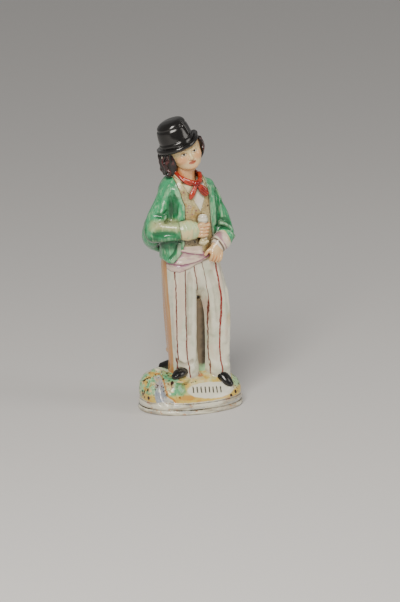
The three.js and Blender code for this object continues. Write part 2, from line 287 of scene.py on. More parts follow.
def laid(rows, side=-1, sunk=0.5):
    """Rows of (x, height, radius) laid on the surface as it stands, at the front (-1) or the back (1)."""
    rows = np.array(rows, float)
    depth = np.arange(30, 0, -0.25)
    points = np.array([(x, side * d, z) for x, z, r in rows for d in depth])
    field, _ = figure.measure(points)
    first = (field.reshape(len(rows), -1) < 0).argmax(1)
    return [(x, side * (depth[k] - sunk * r), z, r) for (x, z, r), k in zip(rows, first)]


def raise_fold(region, rows, blend=2.4, side=-1):
    figure.add(region, limb(laid(rows, side), flat=(0, 1, 0.02)), blend)


def press_crease(rows, blend=2.4, side=-1, sunk=-0.3):
    figure.cut(limb(laid(rows, side, sunk), flat=(0, 1, 0.02)), blend)


# Base


STREAM = limb(
    [
        (-25.5, 2, 29.4, 2.4),
        (-28, -4.4, 26.6, 2.8),
        (-29.8, -12, 21.4, 3),
        (-30.4, -18.4, 12.4, 3.6),
        (-27, -22, 8.4, 3.6),
    ]
)


def sculpt_base():
    def oval(z, inset):
        return (z, 0, 0, HALF_WIDTH - inset, HALF_DEPTH - inset)

    foot = [oval(0, 0.9), oval(0.8, 0.15), oval(2, 0.02), oval(3, 0.3), oval(3.9, 1.3), oval(4.6, 2.4)]
    band = [oval(3.2, 1.6), oval(4.4, 0.9), oval(6, 0.5), oval(7.6, 0.7), oval(8.8, 1.6), oval(9.8, 3)]
    mound = column(
        [
            (7.6, 0, 0, HALF_WIDTH - 1.6, HALF_DEPTH - 1.9),
            (12.5, 0, 0.6, 38.7, 25.2),
            (17, 0, 1.4, 37.2, 21.2),
            (21, -0.8, 2, 33.2, 17.4),
            (24, -3, 2, 27.2, 14.2),
            (26.5, -6, 2, 14, 9),
        ],
        2.3,
        soft=1.5,
    )
    figure.add("base", column(foot, 2.15, soft=0.4))
    figure.add("base", column(band, 2.15, soft=0.5), 0.15)
    figure.add("base", mound, 0.5)
    bank = [
        ball((-27, 4, 17.5), (11, 12, 11)),
        ball((-30, -6, 12.5), (7.6, 10, 9.4)),
        ball((-18, -10, 15), (9, 10.6, 9.4)),
        ball((-18, 12, 17), (9.6, 9, 11)),
        ball((-34, 3, 16), (4.2, 6, 6)),
    ]
    for rock in bank:
        figure.add("base", rock, 3.0)
    sculpt_tufts()
    figure.cut(STREAM, 1.6)
    ridge = [(-25.4, -8, 22.6, 1.2), (-25.6, -13.6, 18.8, 1.5), (-23.6, -18.4, 15, 1.5), (-18.4, -22, 11.4, 1.2)]
    figure.add("base", limb(ridge, flat=(0, 0, 1)), 1.6)
    for dx, dy, dz in scatter(8, 16):
        x, y = 4 + 24 * dx, 1 + 15 * dy
        top = 23.4 - 0.0075 * x**2 - 0.02 * y**2
        figure.add("base", ball((x, y, top - 3), (4 + dz, 4 + dz, 3.6 + dz)), 3.4)


def sculpt_tufts():
    """Moss and grass lumps over the bank at the front man's right."""
    for dx, dy, dz in scatter(5, 60):
        x, y = -27 + 8.4 * dx, -1 + 14 * dy
        top = 27.6 - 0.075 * (x + 25) ** 2 - 0.032 * (y - 3) ** 2
        size = 1.5 + 0.6 * dz
        figure.add("base", ball((x, y, top), (size * 1.2, size * 1.1, size)), 1.2)


STROKES = 8
STROKE_PITCH = 3.1
STROKE_START = -7.2
STROKE_SLANT = 0.3


def stroke_level(x):
    return 17.2 - (x - STROKE_START) * 0.085


def sculpt_strokes():
    """Shallow slanting grooves in place of the inscription."""
    for i in range(STROKES):
        x = STROKE_START + STROKE_PITCH * (i + 0.5) + 0.2
        middle, half = stroke_level(x), 1.6 + 0.2 * math.sin(2.4 * i)
        rows = [(x + STROKE_SLANT * dz, middle + dz, 0.45) for dz in (-half, 0, half)]
        press_crease(rows, 0.2, -1, 0)


def sculpt_underside():
    recess = [(-2, 0, 0, HALF_WIDTH - 4, HALF_DEPTH - 4), (1.6, 0, 0, HALF_WIDTH - 5, HALF_DEPTH - 5)]
    figure.cut(column(recess, soft=0.4), 0.5)
    figure.cut(column([(-2, 0, 0, 3.2, 3.2), (10, 0, 0, 3.1, 3.1)]), 0.5)


# Legs

LEFT_LEG = [
    (18, -4.8, 0.4, 10.8, LEG_DEPTH + 0.2),
    (30, -5, 0.4, 10.5, LEG_DEPTH),
    (40, -5.8, 0.4, 10.1, LEG_DEPTH - 0.5),
    (55, -6.6, 0.3, 10.2, LEG_DEPTH),
    (72, -7.4, 0.2, 10.5, LEG_DEPTH + 0.4),
    (90, -8.2, 0, 11.2, LEG_DEPTH + 1),
    (107, -8.8, 0, 11.7, LEG_DEPTH + 1.8),
    (116, -8.4, 0, 11, LEG_DEPTH + 1.8),
]
RIGHT_LEG = [
    (12, 20.4, 0.4, 10.6, LEG_DEPTH + 0.2),
    (28, 20.5, 0.4, 10.1, LEG_DEPTH),
    (40, 20.4, 0.3, 9.6, LEG_DEPTH - 0.5),
    (55, 20.3, 0.2, 9.5, LEG_DEPTH),
    (72, 19.8, 0, 9.9, LEG_DEPTH + 0.4),
    (90, 16.4, 0, 11.4, LEG_DEPTH + 1),
    (107, 11.8, 0, 11.6, LEG_DEPTH + 1.8),
    (118, 10.6, 0, 11, LEG_DEPTH + 1.8),
]
WEB = [
    (16, 7, 0.5, 9, 4.4),
    (60, 6.6, 0.5, 9, 4.4),
    (82, 5.2, 0.5, 10, 5),
]
CROTCH = [
    (84, 4.6, 0.2, 9, 5),
    (89, 4, 0.2, 10.4, 9.6),
    (94, 3.4, 0.2, 11, LEG_DEPTH - 0.4),
    (101, 2.4, 0, 12, LEG_DEPTH + 1.2),
    (114, 2.2, 0, 14, LEG_DEPTH + 1.9),
]
TROUSER_FOLDS = [
    [(-12, 107, 1), (-10.6, 92, 1.6), (-10, 76, 1.8), (-9.4, 56, 1)],
    [(-2, 100, 1), (-0.8, 82, 1.5), (-1, 60, 1.5), (-1, 38, 0.8)],
    [(-15.6, 98, 1), (-14.6, 70, 1.5), (-13, 42, 0.8)],
    [(5, 106, 1), (8.4, 96, 1.7), (13, 80, 1.8), (15, 56, 1)],
    [(15.6, 110, 1), (19.4, 92, 1.6), (22, 74, 1.8), (22.6, 50, 1)],
    [(25, 88, 1), (26.4, 66, 1.5), (26, 40, 0.8)],
    [(-13, 41, 1), (-9, 35.4, 1.6), (-3, 31, 1)],
    [(13.6, 34, 1), (19, 29.4, 1.6), (26, 30.6, 1)],
]
TROUSER_DENTS = [
    [(-5.4, 104, 0.5), (-5, 84, 0.9), (-5.4, 58, 0.5)],
    [(11, 104, 0.5), (15.6, 88, 0.9), (18, 66, 0.6)],
    [(-14, 38, 0.2), (-9.6, 35, 0.3), (-3.4, 37, 0.2)],
]


def sculpt_legs():
    figure.add("web", column(WEB, 2.0, soft=2), 1.0)
    figure.add("trousers", column(CROTCH, 2.2, soft=2), 1.2)
    figure.add("trousers", column(LEFT_LEG, 2.3), 1.4)
    figure.add("trousers", column(RIGHT_LEG, 2.3), 1.4)
    for side in (-1, 1):
        for rows in TROUSER_FOLDS:
            raise_fold("trousers", rows, 3.4, side)
        for rows in TROUSER_DENTS:
            press_crease(rows, 3.0, side)


SHOES = [
    [(-8.8, -8.6, 28.6, 4.4, 3.4), (-12.2, -11.6, 29, 4.8, 3.6), (-15.6, -13.8, 28.2, 4.4, 3.1), (-18.2, -15, 27.4, 3.2, 2.2)],
    [(20, -9.4, 23.4, 4.2, 3.8), (22, -12.6, 21.8, 4.5, 3.8), (23.9, -15.4, 19.4, 4.2, 3.1), (25.2, -17.4, 17.8, 3, 2.2)],
    [(-10, 8, 30.6, 4.4, 4), (-13.6, 11, 29.6, 4.2, 3.6), (-17, 13.4, 28.6, 3.2, 2.6)],
    [(20, 9, 24, 4.6, 4), (22.4, 13.4, 22, 4.6, 3.7), (24.2, 17, 19.6, 3.6, 2.8)],
]


def sculpt_shoes():
    for rows in SHOES:
        figure.add("shoe", limb(rows, flat=(0, 0, 1)), 0.5)
    for rows in SHOES:
        ledge = [(x, y, z - 1.5 * b, a + 1.4, b * 0.7) for x, y, z, a, b in rows]
        figure.add("base", limb(ledge, flat=(0, 0, 1)), 1.2)


# Body

TORSO = [
    (99, 2.2, 0, 18, BODY_DEPTH - 3.4),
    (106, 1.8, 0, 20.6, BODY_DEPTH - 1.4),
    (114, 0.9, 0, 21.6, BODY_DEPTH),
    (124, 0.1, 0, 20.8, BODY_DEPTH),
    (136, -0.6, 0, 20.4, BODY_DEPTH),
    (148, -1, 0, 20.6, BODY_DEPTH),
    (158, -1.3, 0, 20.6, BODY_DEPTH - 0.4),
    (166, -2.2, 0, 19, BODY_DEPTH - 1),
    (172, -3, 0, 15.4, BODY_DEPTH - 3),
    (177, -3, 0, 10.4, BODY_DEPTH - 5.8),
    (182, -2.6, 0, 6, BODY_DEPTH - 9),
]

# Edges of the jacket's openings and hems: (height, x), and (x, height) for hems
FRONT_LEFT = line([(108, -21), (113, -18.6), (115.8, -14.6), (119, -12.2), (122.4, -10.8), (127, -9.9), (134, -9.8),
                   (147, -9.3), (156, -9.3), (160, -10.8), (166, -12.7), (174, -14.2), (190, -14.6)])
FRONT_RIGHT = line([(108, 21), (114, 19), (126, 14.8), (133, 13.6), (144, 11.9), (156, 11.2), (167, 10.7), (175, 9.6),
                    (190, 7)])
BACK_LEFT = line([(104, -16), (112, -13), (132, -8), (150, -7.5), (166, -9), (190, -10)])
BACK_RIGHT = line([(104, 15), (112, 12), (132, 7), (150, 6.5), (166, 7), (190, 8)])
FRONT_HEM = line([(-25, 116.8), (-21.6, 113.8), (-17, 113.2), (17, 114.6), (24, 117)])
BACK_HEM = line([(-24, 114), (0, 111.5), (24, 114)])


def jacket_limit(p):
    x, y, z = p.T
    front = np.minimum(x - FRONT_LEFT(z), FRONT_RIGHT(z) - x)
    back = np.minimum(x - BACK_LEFT(z), BACK_RIGHT(z) - x)
    hem = np.where(y < 0, FRONT_HEM(x), BACK_HEM(x)) - z
    return np.maximum(np.where(y < 0, front, back), hem)


def sculpt_body():
    figure.add("trousers", column(TORSO[:5], 2.2, grow=-0.3, soft=2), 1.6)
    figure.add("shirt", column(TORSO[3:9], 2.2, soft=2), 0.5)
    shirt_left = line([(140, 3.6), (150.9, 3.3), (160, -2.2), (167.7, -7.4), (176, -11.8), (186, -12)])
    shirt_right = line([(140, 3.6), (150.9, 3.3), (160, 6.6), (168, 8), (186, 8.4)])

    def waistcoat_limit(p):
        x, y, z = p.T
        opening = np.minimum(x - shirt_left(z), shirt_right(z) - x)
        opening = np.minimum(opening, 2 + z - 150.9)
        return np.where(y < 0, opening, -9)

    figure.add("waistcoat", limited(column(TORSO[2:], 2.2, grow=0.5, soft=2), waistcoat_limit, 0.4), 0.15)
    sash_low = line([(-22, 109.6), (-18.4, 106.6), (-13.7, 106.8), (-6, 108.6), (-1, 111.6), (5, 113.4), (16, 116)])
    sash = union([column(TORSO[:6], 2.2), column(LEFT_LEG, 2.3), column(RIGHT_LEG, 2.3)], 2.5, 0.8)

    def sash_limit(p):
        x, y, z = p.T
        band = np.maximum(sash_low(x) - z, z - 125.4)
        return np.maximum(band, np.maximum(np.maximum(y + 1, x - 16), y + 9 + 0.4 * np.minimum(x + 14, 20)))

    figure.add("sash", limited(sash, sash_limit, 0.8), 0.5)
    swags = [
        [(-14, -14.6, 122.8, 0.7), (-8, -16.4, 121.8, 1), (0, -17.2, 120.2, 1), (8, -16.6, 117.6, 0.7)],
        [(-17.6, -12, 113.4, 0.6), (-12, -15, 113, 0.9), (-4, -16.6, 113.8, 0.9), (6, -16.8, 116, 0.6)],
    ]
    for rows in swags:
        figure.add("sash", limb(rows), 2.2)
        figure.cut(limb([(x, y - 0.9, z - 1.7, 0.45) for x, y, z, r in rows]), 1.0)
    cloth = column(TORSO[2:10], 2.2, grow=JACKET)
    figure.add("jacket", limited(cloth, jacket_limit, 0.7), 0.3)
    flap = limb([(-18.4, -6.4, 134, 9.3, 8.8), (-17.6, -7.6, 125, 7.8, 8.4), (-18.6, -7.8, 117, 6, 7.4)], flat=(0.35, 1, 0))
    figure.add("jacket", limited(flap, jacket_limit, 0.7), 1.0)
    rear = limb([(21, -4, 132, 6, 8), (21.4, -4, 122, 5, 8), (21, -4, 116.4, 3.6, 7)])
    figure.add("jacket", rear, 1.0)
    edge = laid([(-12.6, 127.6, 2), (-13.9, 122, 2.5), (-16.6, 118, 2.5), (-19.2, 115.4, 2)], sunk=0.1)
    lapel = limb([(x, y, z, r, 1.1) for x, y, z, r in edge])
    figure.add("jacket", lapel, 0.4)
    press_crease([(-15.4, 127, 0.6), (-17.6, 121.6, 0.8), (-21.4, 117, 0.6)], 0.8)


# Arms


SLEEVE_FOLDS = [
    [(-18, 170, 1.2), (-21.6, 160, 1.9), (-25, 150, 2.1), (-27.4, 143, 1.5)],
    [(-21, 163, 1), (-18.8, 167.4, 1.5), (-15.6, 168, 1.3), (-13.8, 164, 0.9)],
    [(-15.4, 160, 1), (-13.2, 152, 1.6), (-12.6, 145, 1)],
    [(-31, 145.6, 1), (-27, 146.2, 1.5), (-23, 148.4, 1)],
    [(-33, 139, 1), (-29, 141.6, 1.5), (-23, 141.8, 1.7), (-17, 141.4, 1.2)],
    [(-32, 131, 0.9), (-25, 132.6, 1.4), (-18.4, 133.4, 1)],
    [(13.4, 168, 1), (18.4, 164, 1.5), (22.4, 156.6, 1.1)],
    [(14, 160, 1), (15.4, 150, 1.5), (15.6, 140, 1)],
    [(19.4, 155, 1), (21.4, 146, 1.6), (21.6, 138, 1)],
    [(20.6, 139.6, 0.9), (25, 137.6, 1.3), (29.8, 134, 0.9)],
    [(21.4, 134.6, 0.9), (26, 132.6, 1.3), (30, 129.4, 0.9)],
]
SLEEVE_CREASES = [
    [(-18.6, 162, 0.5), (-18, 154, 1.1), (-18.2, 147, 1.2)],
    [(-16.4, 163.6, 0.5), (-15.4, 158, 0.7), (-15.6, 151, 0.6)],
    [(-29.6, 150, 0.4), (-25.6, 149.6, 0.7), (-22, 152, 0.5)],
    [(-32, 136, 0.4), (-26, 137, 0.7), (-20, 137.2, 0.5)],
    [(18.8, 166, 0.5), (19, 156, 0.9), (18.4, 146, 1), (18, 139, 0.7)],
    [(21, 142.4, 0.4), (25.4, 141, 0.7), (29.4, 138.4, 0.5)],
    [(21, 137, 0.4), (25.6, 135.2, 0.7), (30, 131.6, 0.5)],
]
CUFF_PLEATS = [
    [(-11.6, 144.2, 0.6), (-10.4, 139.6, 1.1), (-11, 134.4, 0.6)],
    [(-8.4, 145, 0.6), (-7.4, 139, 1.1), (-8, 133, 0.6)],
    [(-5.2, 144, 0.6), (-4.2, 138.6, 1), (-4.8, 133.4, 0.6)],
]


def sculpt_arms():
    upper_right = [(-15, -1, 168, 6.6, 7.2), (-21, -2.8, 156.5, 7, 7.2), (-25.8, -3.4, 146, 8, 8.2), (-28.3, -4, 137, 8.4, 8.6)]
    fore_right = [(-28.4, -5, 136, 8, 8.4), (-22.6, -11, 136.8, 7.2, 7.6), (-15.6, -15.2, 137.2, 6.9, 6.7)]
    cuff_right = [(-14.6, -16, 137.6, 5.8, 5.4), (-11.4, -17.2, 138, 7, 6), (-7, -18.4, 138.2, 7.6, 6.2), (-4, -18.8, 138, 6.6, 5.2)]
    upper_left = [(13.4, -1, 166, 6.4, 7.2), (18, -2.6, 154, 6.8, 7.2), (23, -3.2, 142, 7.4, 7.8), (25.6, -4, 131, 7.8, 8)]
    fore_left = [(25.6, -5, 130, 7.6, 8), (23.6, -11, 128.4, 6.8, 7.4), (20.6, -14.6, 127, 6.6, 6.6)]
    cuff_left = [(22.6, -12.8, 128, 6.6, 6.4), (20, -14.8, 126.8, 7.3, 6.8), (17.4, -16.6, 125.2, 6.6, 5.8)]
    figure.add("jacket", limb(upper_right), 1.4)
    figure.add("jacket", limb(fore_right), 0.9)
    figure.add("jacket", limb(upper_left), 1.4)
    figure.add("jacket", limb(fore_left), 0.9)
    for rows in SLEEVE_FOLDS:
        raise_fold("jacket", rows)
    for rows in SLEEVE_CREASES:
        press_crease(rows)
    figure.add("cuff", limb(cuff_right), 0.25)
    figure.add("cuff", limb(cuff_left), 0.3)
    for rows in CUFF_PLEATS:
        raise_fold("cuff", rows, 1.6)
    for side, out, pocket in ((-1, -25.4, -16), (1, 24, 14)):
        sleeve = [
            (out, 4, 139, 8, 8),
            (out + side * 0.4, 8, 131, 7.6, 7.6),
            ((out + pocket) / 2 + side * 2, 14.5, 125, 6.6, 6.4),
            (pocket, 17, 120, 5.4, 4.4),
        ]
        figure.add("jacket", limb(sleeve), 1.2)
        crease = [(out + side * 4, 9, 142, 0.8), (out, 12.4, 139, 1.1), (out - side * 4, 14.6, 136, 0.8)]
        figure.add("jacket", limb(crease), 2.0)
        pocket_edge = [(pocket - side * 6, 17.6, 121, 0.7), (pocket, 18.8, 122.6, 1.2), (pocket + side * 6, 17, 124, 0.7)]
        figure.add("jacket", limb(pocket_edge), 0.8)


def sculpt_hands():
    figure.add("skin", ball((0.7, -19, 138.6), (4.2, 3.8, 4.8)), 0.5)
    for i in range(4):
        z = 141.9 - i * 2.45
        reach = 6.3 - i * 0.4
        finger = [
            (-0.6, -21.6, z - 0.2, 1.3),
            (2.2, -23.2, z, 1.35),
            (reach + 0.2, -22.6, z + 0.2, 1.25),
            (reach + 0.6, -20.4, z + 0.3, 1.1),
        ]
        figure.add("skin", limb(finger), 0.35)
    thumb = [(-1.9, -21, 140, 1.5), (0.2, -22.6, 142.4, 1.45), (2.4, -23, 143.4, 1.2)]
    figure.add("skin", limb(thumb), 0.4)
    palm = [(18.4, -16.6, 126, 4.8, 4), (15, -18.6, 122.8, 5.4, 3.6), (12.4, -19.4, 119.4, 5, 3)]
    figure.add("skin", limb(palm), 0.6)
    for i in range(4):
        x = 9 + i * 2.2
        finger = [
            (x + 1.8, -20.8, 120.8 - i * 0.5, 1.35),
            (x + 0.6, -21.5, 117.4 - i * 0.7, 1.35),
            (x - 0.2, -20, 114.6 - i * 0.5, 1.2),
        ]
        figure.add("skin", limb(finger), 0.35)
    thumb = [(10.4, -18.8, 123.4, 1.5), (7.4, -19, 121.2, 1.4), (5.8, -18.6, 118.8, 1.15)]
    figure.add("skin", limb(thumb), 0.5)


def sculpt_goblet():
    x, y = 3.2, -20
    bowl = [(141.2, 1.3), (142, 2.4), (143.6, 3.4), (145.6, 3.8), (147.6, 3.6), (149.2, 3.1)]
    foot = [(127.2, 2.6), (128, 3.2), (129.4, 2.8), (131, 1.9), (133, 1.4), (136, 1.3)]
    for profile in (bowl, foot):
        figure.add("goblet", column([(z, x, y, r, r) for z, r in profile], soft=0.5), 0.25)
    for dx, z in ((-2, 129), (0.6, 128.4), (2.4, 129.6), (1, 132)):
        figure.add("goblet", ball((x + dx, y - 2.4, z), (1.3, 1, 1.2)), 0.7)
    figure.cut(ball((x, y, 150.2), (2.5, 2.5, 3)), 0.3)
    figure.add("goblet", limb([(x, y, 143.8, 1.8), (x, y + 3.8, 143.8, 1.8)], flat=(0, 0, 1)), 0.6)


# Neck and kerchief


COLLAR = [
    (-11.6, -0.4, 179.4),
    (-10.6, -6.6, 177.2),
    (-6.6, -11.6, 173.8),
    (0, -13.8, 171.8),
    (5, -11, 173.4),
    (6.8, -5.8, 175.8),
    (6.4, -0.4, 176.8),
]


def sculpt_neck():
    neck = limb([(-2.6, 0, 170, 8.4, 8.8), (-2.4, -0.4, 179, 6.8, 7), (-2, -0.8, 188, 6.8, 7.4)])
    figure.add("skin", neck, 0.8)
    for side in (1, -1):
        peak = [(-12, side * -2, 177.4, 1.3), (-11.4, side * -6.6, 176, 1.3), (-9, side * -10.4, 173.4, 1)]
        figure.add("shirt", limb(peak), 0.4)
        twisted = between(COLLAR, 41)
        for start in (0, math.pi):
            turn = start + np.linspace(0, 2.6 * math.pi, 41)
            strand = [
                (x, side * min(y - 0.8 * math.sin(t), 0.5), z + 1.05 * math.cos(t), 1.45)
                for (x, y, z), t in zip(twisted, turn)
            ]
            figure.add("scarf", limb(strand, count=41), 0.25)
        figure.add("scarf", ball((0.4, side * -15, 171.8), (2.9, 2.3, 2.6)), 0.5)
        left = [(0, -15.2, 171, 1.3), (-2, -16.4, 167.6, 1.9), (-3.9, -17, 164.2, 2.2), (-5, -17, 162, 1.3)]
        right = [(1.4, -15.2, 171, 1.5), (4, -16.2, 168.4, 2.6), (6.2, -16.4, 165.8, 3), (7.6, -16.4, 163.8, 2.2)]
        for tail in (left, right):
            figure.add("scarf", limb([(x, side * y, z, r, 0.6 + 0.35 * r) for x, y, z, r in tail]), 0.4)
            crease = [(x, side * (y - 0.9 - 0.32 * r), z, 0.3) for x, y, z, r in tail]
            figure.cut(limb(crease), 0.6)


# Head: made in its own frame, with the face towards -Y and the eyes at height 0


def head_frame(turn):
    place = Matrix.Translation(HEAD_CENTRE) @ Matrix.Rotation(math.radians(HEAD_TILT), 4, "Y")
    return place @ Matrix.Rotation(math.radians(turn), 4, "Z")


HAT_FRAME = (
    Matrix.Translation(HAT_CENTRE)
    @ Matrix.Rotation(math.radians(HAT_TILT), 4, "Y")
    @ Matrix.Rotation(math.radians(HAT_PITCH), 4, "X")
)


def sculpt_face(place):
    def add(form, blend, region="skin"):
        figure.add(region, placed(form, place), blend)

    def cut(form, blend):
        figure.cut(placed(form, place), blend)

    skull = column(
        [
            (-13.8, 0, -6.2, 3.6, 3.4),
            (-12.6, 0, -5.4, 6.4, 6),
            (-10, 0, -3.8, 8.8, 8.2),
            (-5.6, 0, -1.6, 10.6, 10.4),
            (0, 0, -0.8, 11.6, 11),
            (6, 0, 0, 11.6, 11.2),
            (11, 0, 0.4, 9.8, 10.4),
        ],
        soft=1.5,
    )
    add(skull, 0.8)
    for side in (-1, 1):
        add(ball((side * 5.8, -7.6, -4.4), (3.8, 3.1, 3.2)), 2.6)
        cut(ball((side * 4.4, -12.4, -0.1), (2.9, 1.7, 1.8)), 1.6)
        add(limb([(side * 1.8, -11.4, 2.2, 0.7), (side * 4.4, -11, 2.9, 0.85), (side * 6.8, -9.2, 2.4, 0.6)]), 2.6)
        add(ball((side * 4.3, -10, -0.3), (2.2, 1.55, 1.4)), 0.3)
        lid = [(side * 2.2, -10.9, -0.3, 0.35), (side * 4.3, -11.65, 0.95, 0.45), (side * 6.5, -10.2, -0.1, 0.35)]
        add(limb(lid), 0.35)
        low = [(side * 2.3, -10.9, -0.5, 0.25), (side * 4.3, -11.4, -1.5, 0.3), (side * 6.4, -10.1, -0.4, 0.25)]
        add(limb(low), 0.4)
    nose = [(0, -11.3, 1.4, 0.95, 0.8), (0, -12.3, -1.4, 1, 0.9), (0, -13.4, -3.8, 1.3, 1.1), (0, -13.4, -4.8, 1.35, 0.95)]
    add(limb(nose), 1.0)
    for side in (-1, 1):
        add(ball((side * 1.45, -12.2, -4.7), (0.95, 1.1, 0.8)), 0.5)
        cut(ball((side * 0.8, -13, -5.5), (0.4, 0.5, 0.4)), 0.3)
    add(ball((0, -10.5, -7.6), (3.4, 1.6, 2.2)), 1.6)
    upper = [(-2.7, -10.9, -7.5, 0.4), (-0.8, -12, -6.9, 0.6), (0, -12, -7.1, 0.5), (0.8, -12, -6.9, 0.6), (2.7, -10.9, -7.5, 0.4)]
    lower = [(-2.2, -11, -8.1, 0.45), (0, -11.9, -8.6, 0.8), (2.2, -11, -8.1, 0.45)]
    add(limb(upper, count=24), 0.3)
    add(limb(lower, count=16), 0.3)
    cut(limb([(-2.7, -11.6, -7.65, 0.16), (0, -12.7, -7.8, 0.2), (2.7, -11.6, -7.65, 0.16)], count=16), 0.3)
    add(ball((0, -9.8, -11.2), (3, 2.1, 2.1)), 1.6)


HAIR_LEFT = [(-15, 198, 3), (-16.6, 192, 4), (-16.8, 186, 4.4), (-15.6, 181, 4), (-14.8, 177.4, 3)]
HAIR_RIGHT = [(6.6, 203, 2.4), (8.6, 198, 3), (8.4, 193, 2.6), (7, 189.4, 1.6)]


def sculpt_hair():
    """Wavy hair that hangs at both sides, made of locks side by side."""
    for side in (-1, 1):
        inner = [(-12.4, side * 1.6, 197, 2.4), (-13, side * 2.6, 189, 3.2), (-12.6, side * 2.2, 183, 3.2), (-12.6, side * 2, 178, 2.4)]
        figure.add("hair", limb(inner), 0.5)
    for side, path in ((-1, HAIR_LEFT), (1, HAIR_RIGHT)):
        figure.add("hair", limb([(x, 1.2, z, 0.8 * r, 5.6) for x, z, r in path]), 1.0)
        for k, y in enumerate((-4.8, -2.4, 0.2, 2.8, 5.4, 7.4)):
            lock = []
            for i, (x, z, r) in enumerate(between(path, 2 * len(path) + 1)):
                bend = 0.8 * math.sin(1.3 * i + 2.6 * k) + 0.3 * math.sin(2.9 * i + k)
                out = r * math.sqrt(1 - ((y - 1.2) / 7.6) ** 2) * 0.75
                lock.append((x + side * (out + bend * 0.5), y + bend, z, 1.4 + 0.3 * math.sin(2.1 * k) - 0.03 * i))
            figure.add("hair", limb(lock), 0.5)


BRIM_ROOT = 11.0
BRIM_EDGE = 15.4
BRIM_CURL = 3.0
BRIM_DROP = 2.0
BRIM_ROLL = 1.7


def brim_height(x, y):
    """Height of the brim's sheet, which curls up at the sides, most at the front man's left."""
    reach = np.hypot(x, y) + 1e-6
    out = np.clip((reach - BRIM_ROOT) / (BRIM_EDGE - BRIM_ROOT), 0, 1.3)
    lift = np.where(x > 0, BRIM_CURL, 0.8) * out**1.5 * (np.abs(x) / reach) ** 3
    return lift - BRIM_DROP


def brim():
    def distance(p):
        reach = np.hypot(p[:, 0], p[:, 1]) + 1e-6
        level = brim_height(p[:, 0], p[:, 1])
        sheet = np.hypot(np.maximum(reach - BRIM_EDGE, 0), p[:, 2] - level) - 1.0
        scale = BRIM_EDGE / reach
        edge = brim_height(p[:, 0] * scale, p[:, 1] * scale) - 0.5
        fat = BRIM_ROLL - 0.7 * np.clip(p[:, 0] / reach, 0, 1) ** 2
        roll = np.hypot(reach - BRIM_EDGE + 0.4, p[:, 2] - edge) - fat
        return np.maximum(smooth_min(sheet, roll, 0.5), BRIM_ROOT - 3 - reach) * 0.85

    reach = BRIM_EDGE + 2
    return Form((-reach, -reach, -BRIM_DROP - 3), (reach, reach, BRIM_CURL), distance)


def above_brim():
    """The space over the brim, which the head and hair keep out of."""

    def distance(p):
        reach = np.hypot(p[:, 0], p[:, 1])
        return np.maximum(brim_height(p[:, 0], p[:, 1]) - p[:, 2], reach - 22) * 0.8

    return Form((-22, -22, -BRIM_DROP), (22, 22, 20), distance)


def sculpt_hat():
    figure.cut(placed(above_brim(), HAT_FRAME), 0.1)
    figure.add("hat", placed(brim(), HAT_FRAME), 0.3)
    crown = [
        (-BRIM_DROP - 1, 0, 0, 12.8, 12.6),
        (-1, 0, 0, 12.8, 12.6),
        (2, 0, 0, 12.8, 12.5),
        (5, -0.2, 0, 12.6, 12.4),
        (10, -0.1, 0, 11.9, 11.8),
        (13, 0.1, 0, 11.2, 11.2),
        (15, 0.4, 0, 10, 10.1),
        (16.6, 0.8, 0, 8, 8.1),
        (17.7, 1.3, 0, 5, 5.1),
    ]
    figure.add("hat", placed(column(crown, soft=1.2), HAT_FRAME), 0.6)
    band = [(-1.6, 0, 0, 13.2, 13), (-0.6, 0, 0, 13.7, 13.5), (1.2, 0, 0, 13.6, 13.4), (2.4, -0.1, 0, 13.1, 12.8)]
    figure.add("hat", placed(column(band, soft=0.5), HAT_FRAME), 0.3)
    rim = [
        (11.4 * math.cos(t) + 0.1, 11.5 * math.sin(t), 12.6 + 0.4 * math.sin(t), 0.3)
        for t in np.linspace(0, 2 * math.pi, 25)
    ]
    figure.cut(placed(limb(rim, flat=(0, 0, 1), count=73), HAT_FRAME), 1.4)
    crease = limb([(5.4, -8.8, 14.6, 0.8), (6.6, -9.6, 10, 1.1), (7.4, -10, 5, 0.8)])
    figure.add("hat", placed(crease, HAT_FRAME), 1.8)


sculpt_base()
sculpt_legs()
sculpt_body()
sculpt_arms()
sculpt_goblet()
sculpt_hands()
sculpt_neck()
sculpt_face(head_frame(HEAD_TURN))
sculpt_face(head_frame(180))
sculpt_hair()
sculpt_hat()
sculpt_shoes()
sculpt_strokes()
sculpt_underside()

# Meshing on a lattice that narrows and gets finer towards the head

# (height, lowest x, highest x, lowest y, highest y, step in height)
LATTICE = np.array(
    [
        (-0.8, -41.5, 41.5, -30.5, 30.5, 0.5),
        (16, -41.5, 41.5, -30.5, 30.5, 0.5),
        (27, -39, 39, -24, 24, 0.55),
        (36, -26, 34, -19, 20, 0.7),
        (104, -26, 34, -19, 19, 0.6),
        (110, -33, 35, -25, 24, 0.45),
        (118, -39, 37, -26, 24, 0.4),
        (160, -38, 35, -26, 24, 0.4),
        (172, -30, 28, -21, 21, 0.35),
        (180, -27, 14, -18, 18, 0.25),
        (198, -28, 14, -19, 19, 0.25),
        (206, -28, 14, -19, 19, 0.3),
        (222.5, -28, 14, -19, 19, 0.34),
    ]
)
BLOCK = 4
ACROSS = 45 * BLOCK + 1
DEEP = 32 * BLOCK + 1
NEAR = 0.5


def lattice_levels():
    levels = [LATTICE[0, 0]]
    while levels[-1] < LATTICE[-1, 0] or len(levels) % BLOCK != 1:
        levels.append(levels[-1] + np.interp(levels[-1], LATTICE[:, 0], LATTICE[:, 5]))
    return np.array(levels)


LEVELS = lattice_levels()


def lattice_points(index):
    """Points in millimetres for fractional lattice places."""
    z = np.interp(index[:, 2], np.arange(len(LEVELS)), LEVELS)
    x0, x1, y0, y1 = (np.interp(z, LATTICE[:, 0], LATTICE[:, k]) for k in (1, 2, 3, 4))
    x = x0 + (x1 - x0) * index[:, 0] / (ACROSS - 1)
    y = y0 + (y1 - y0) * index[:, 1] / (DEEP - 1)
    return np.stack([x, y, z], 1)


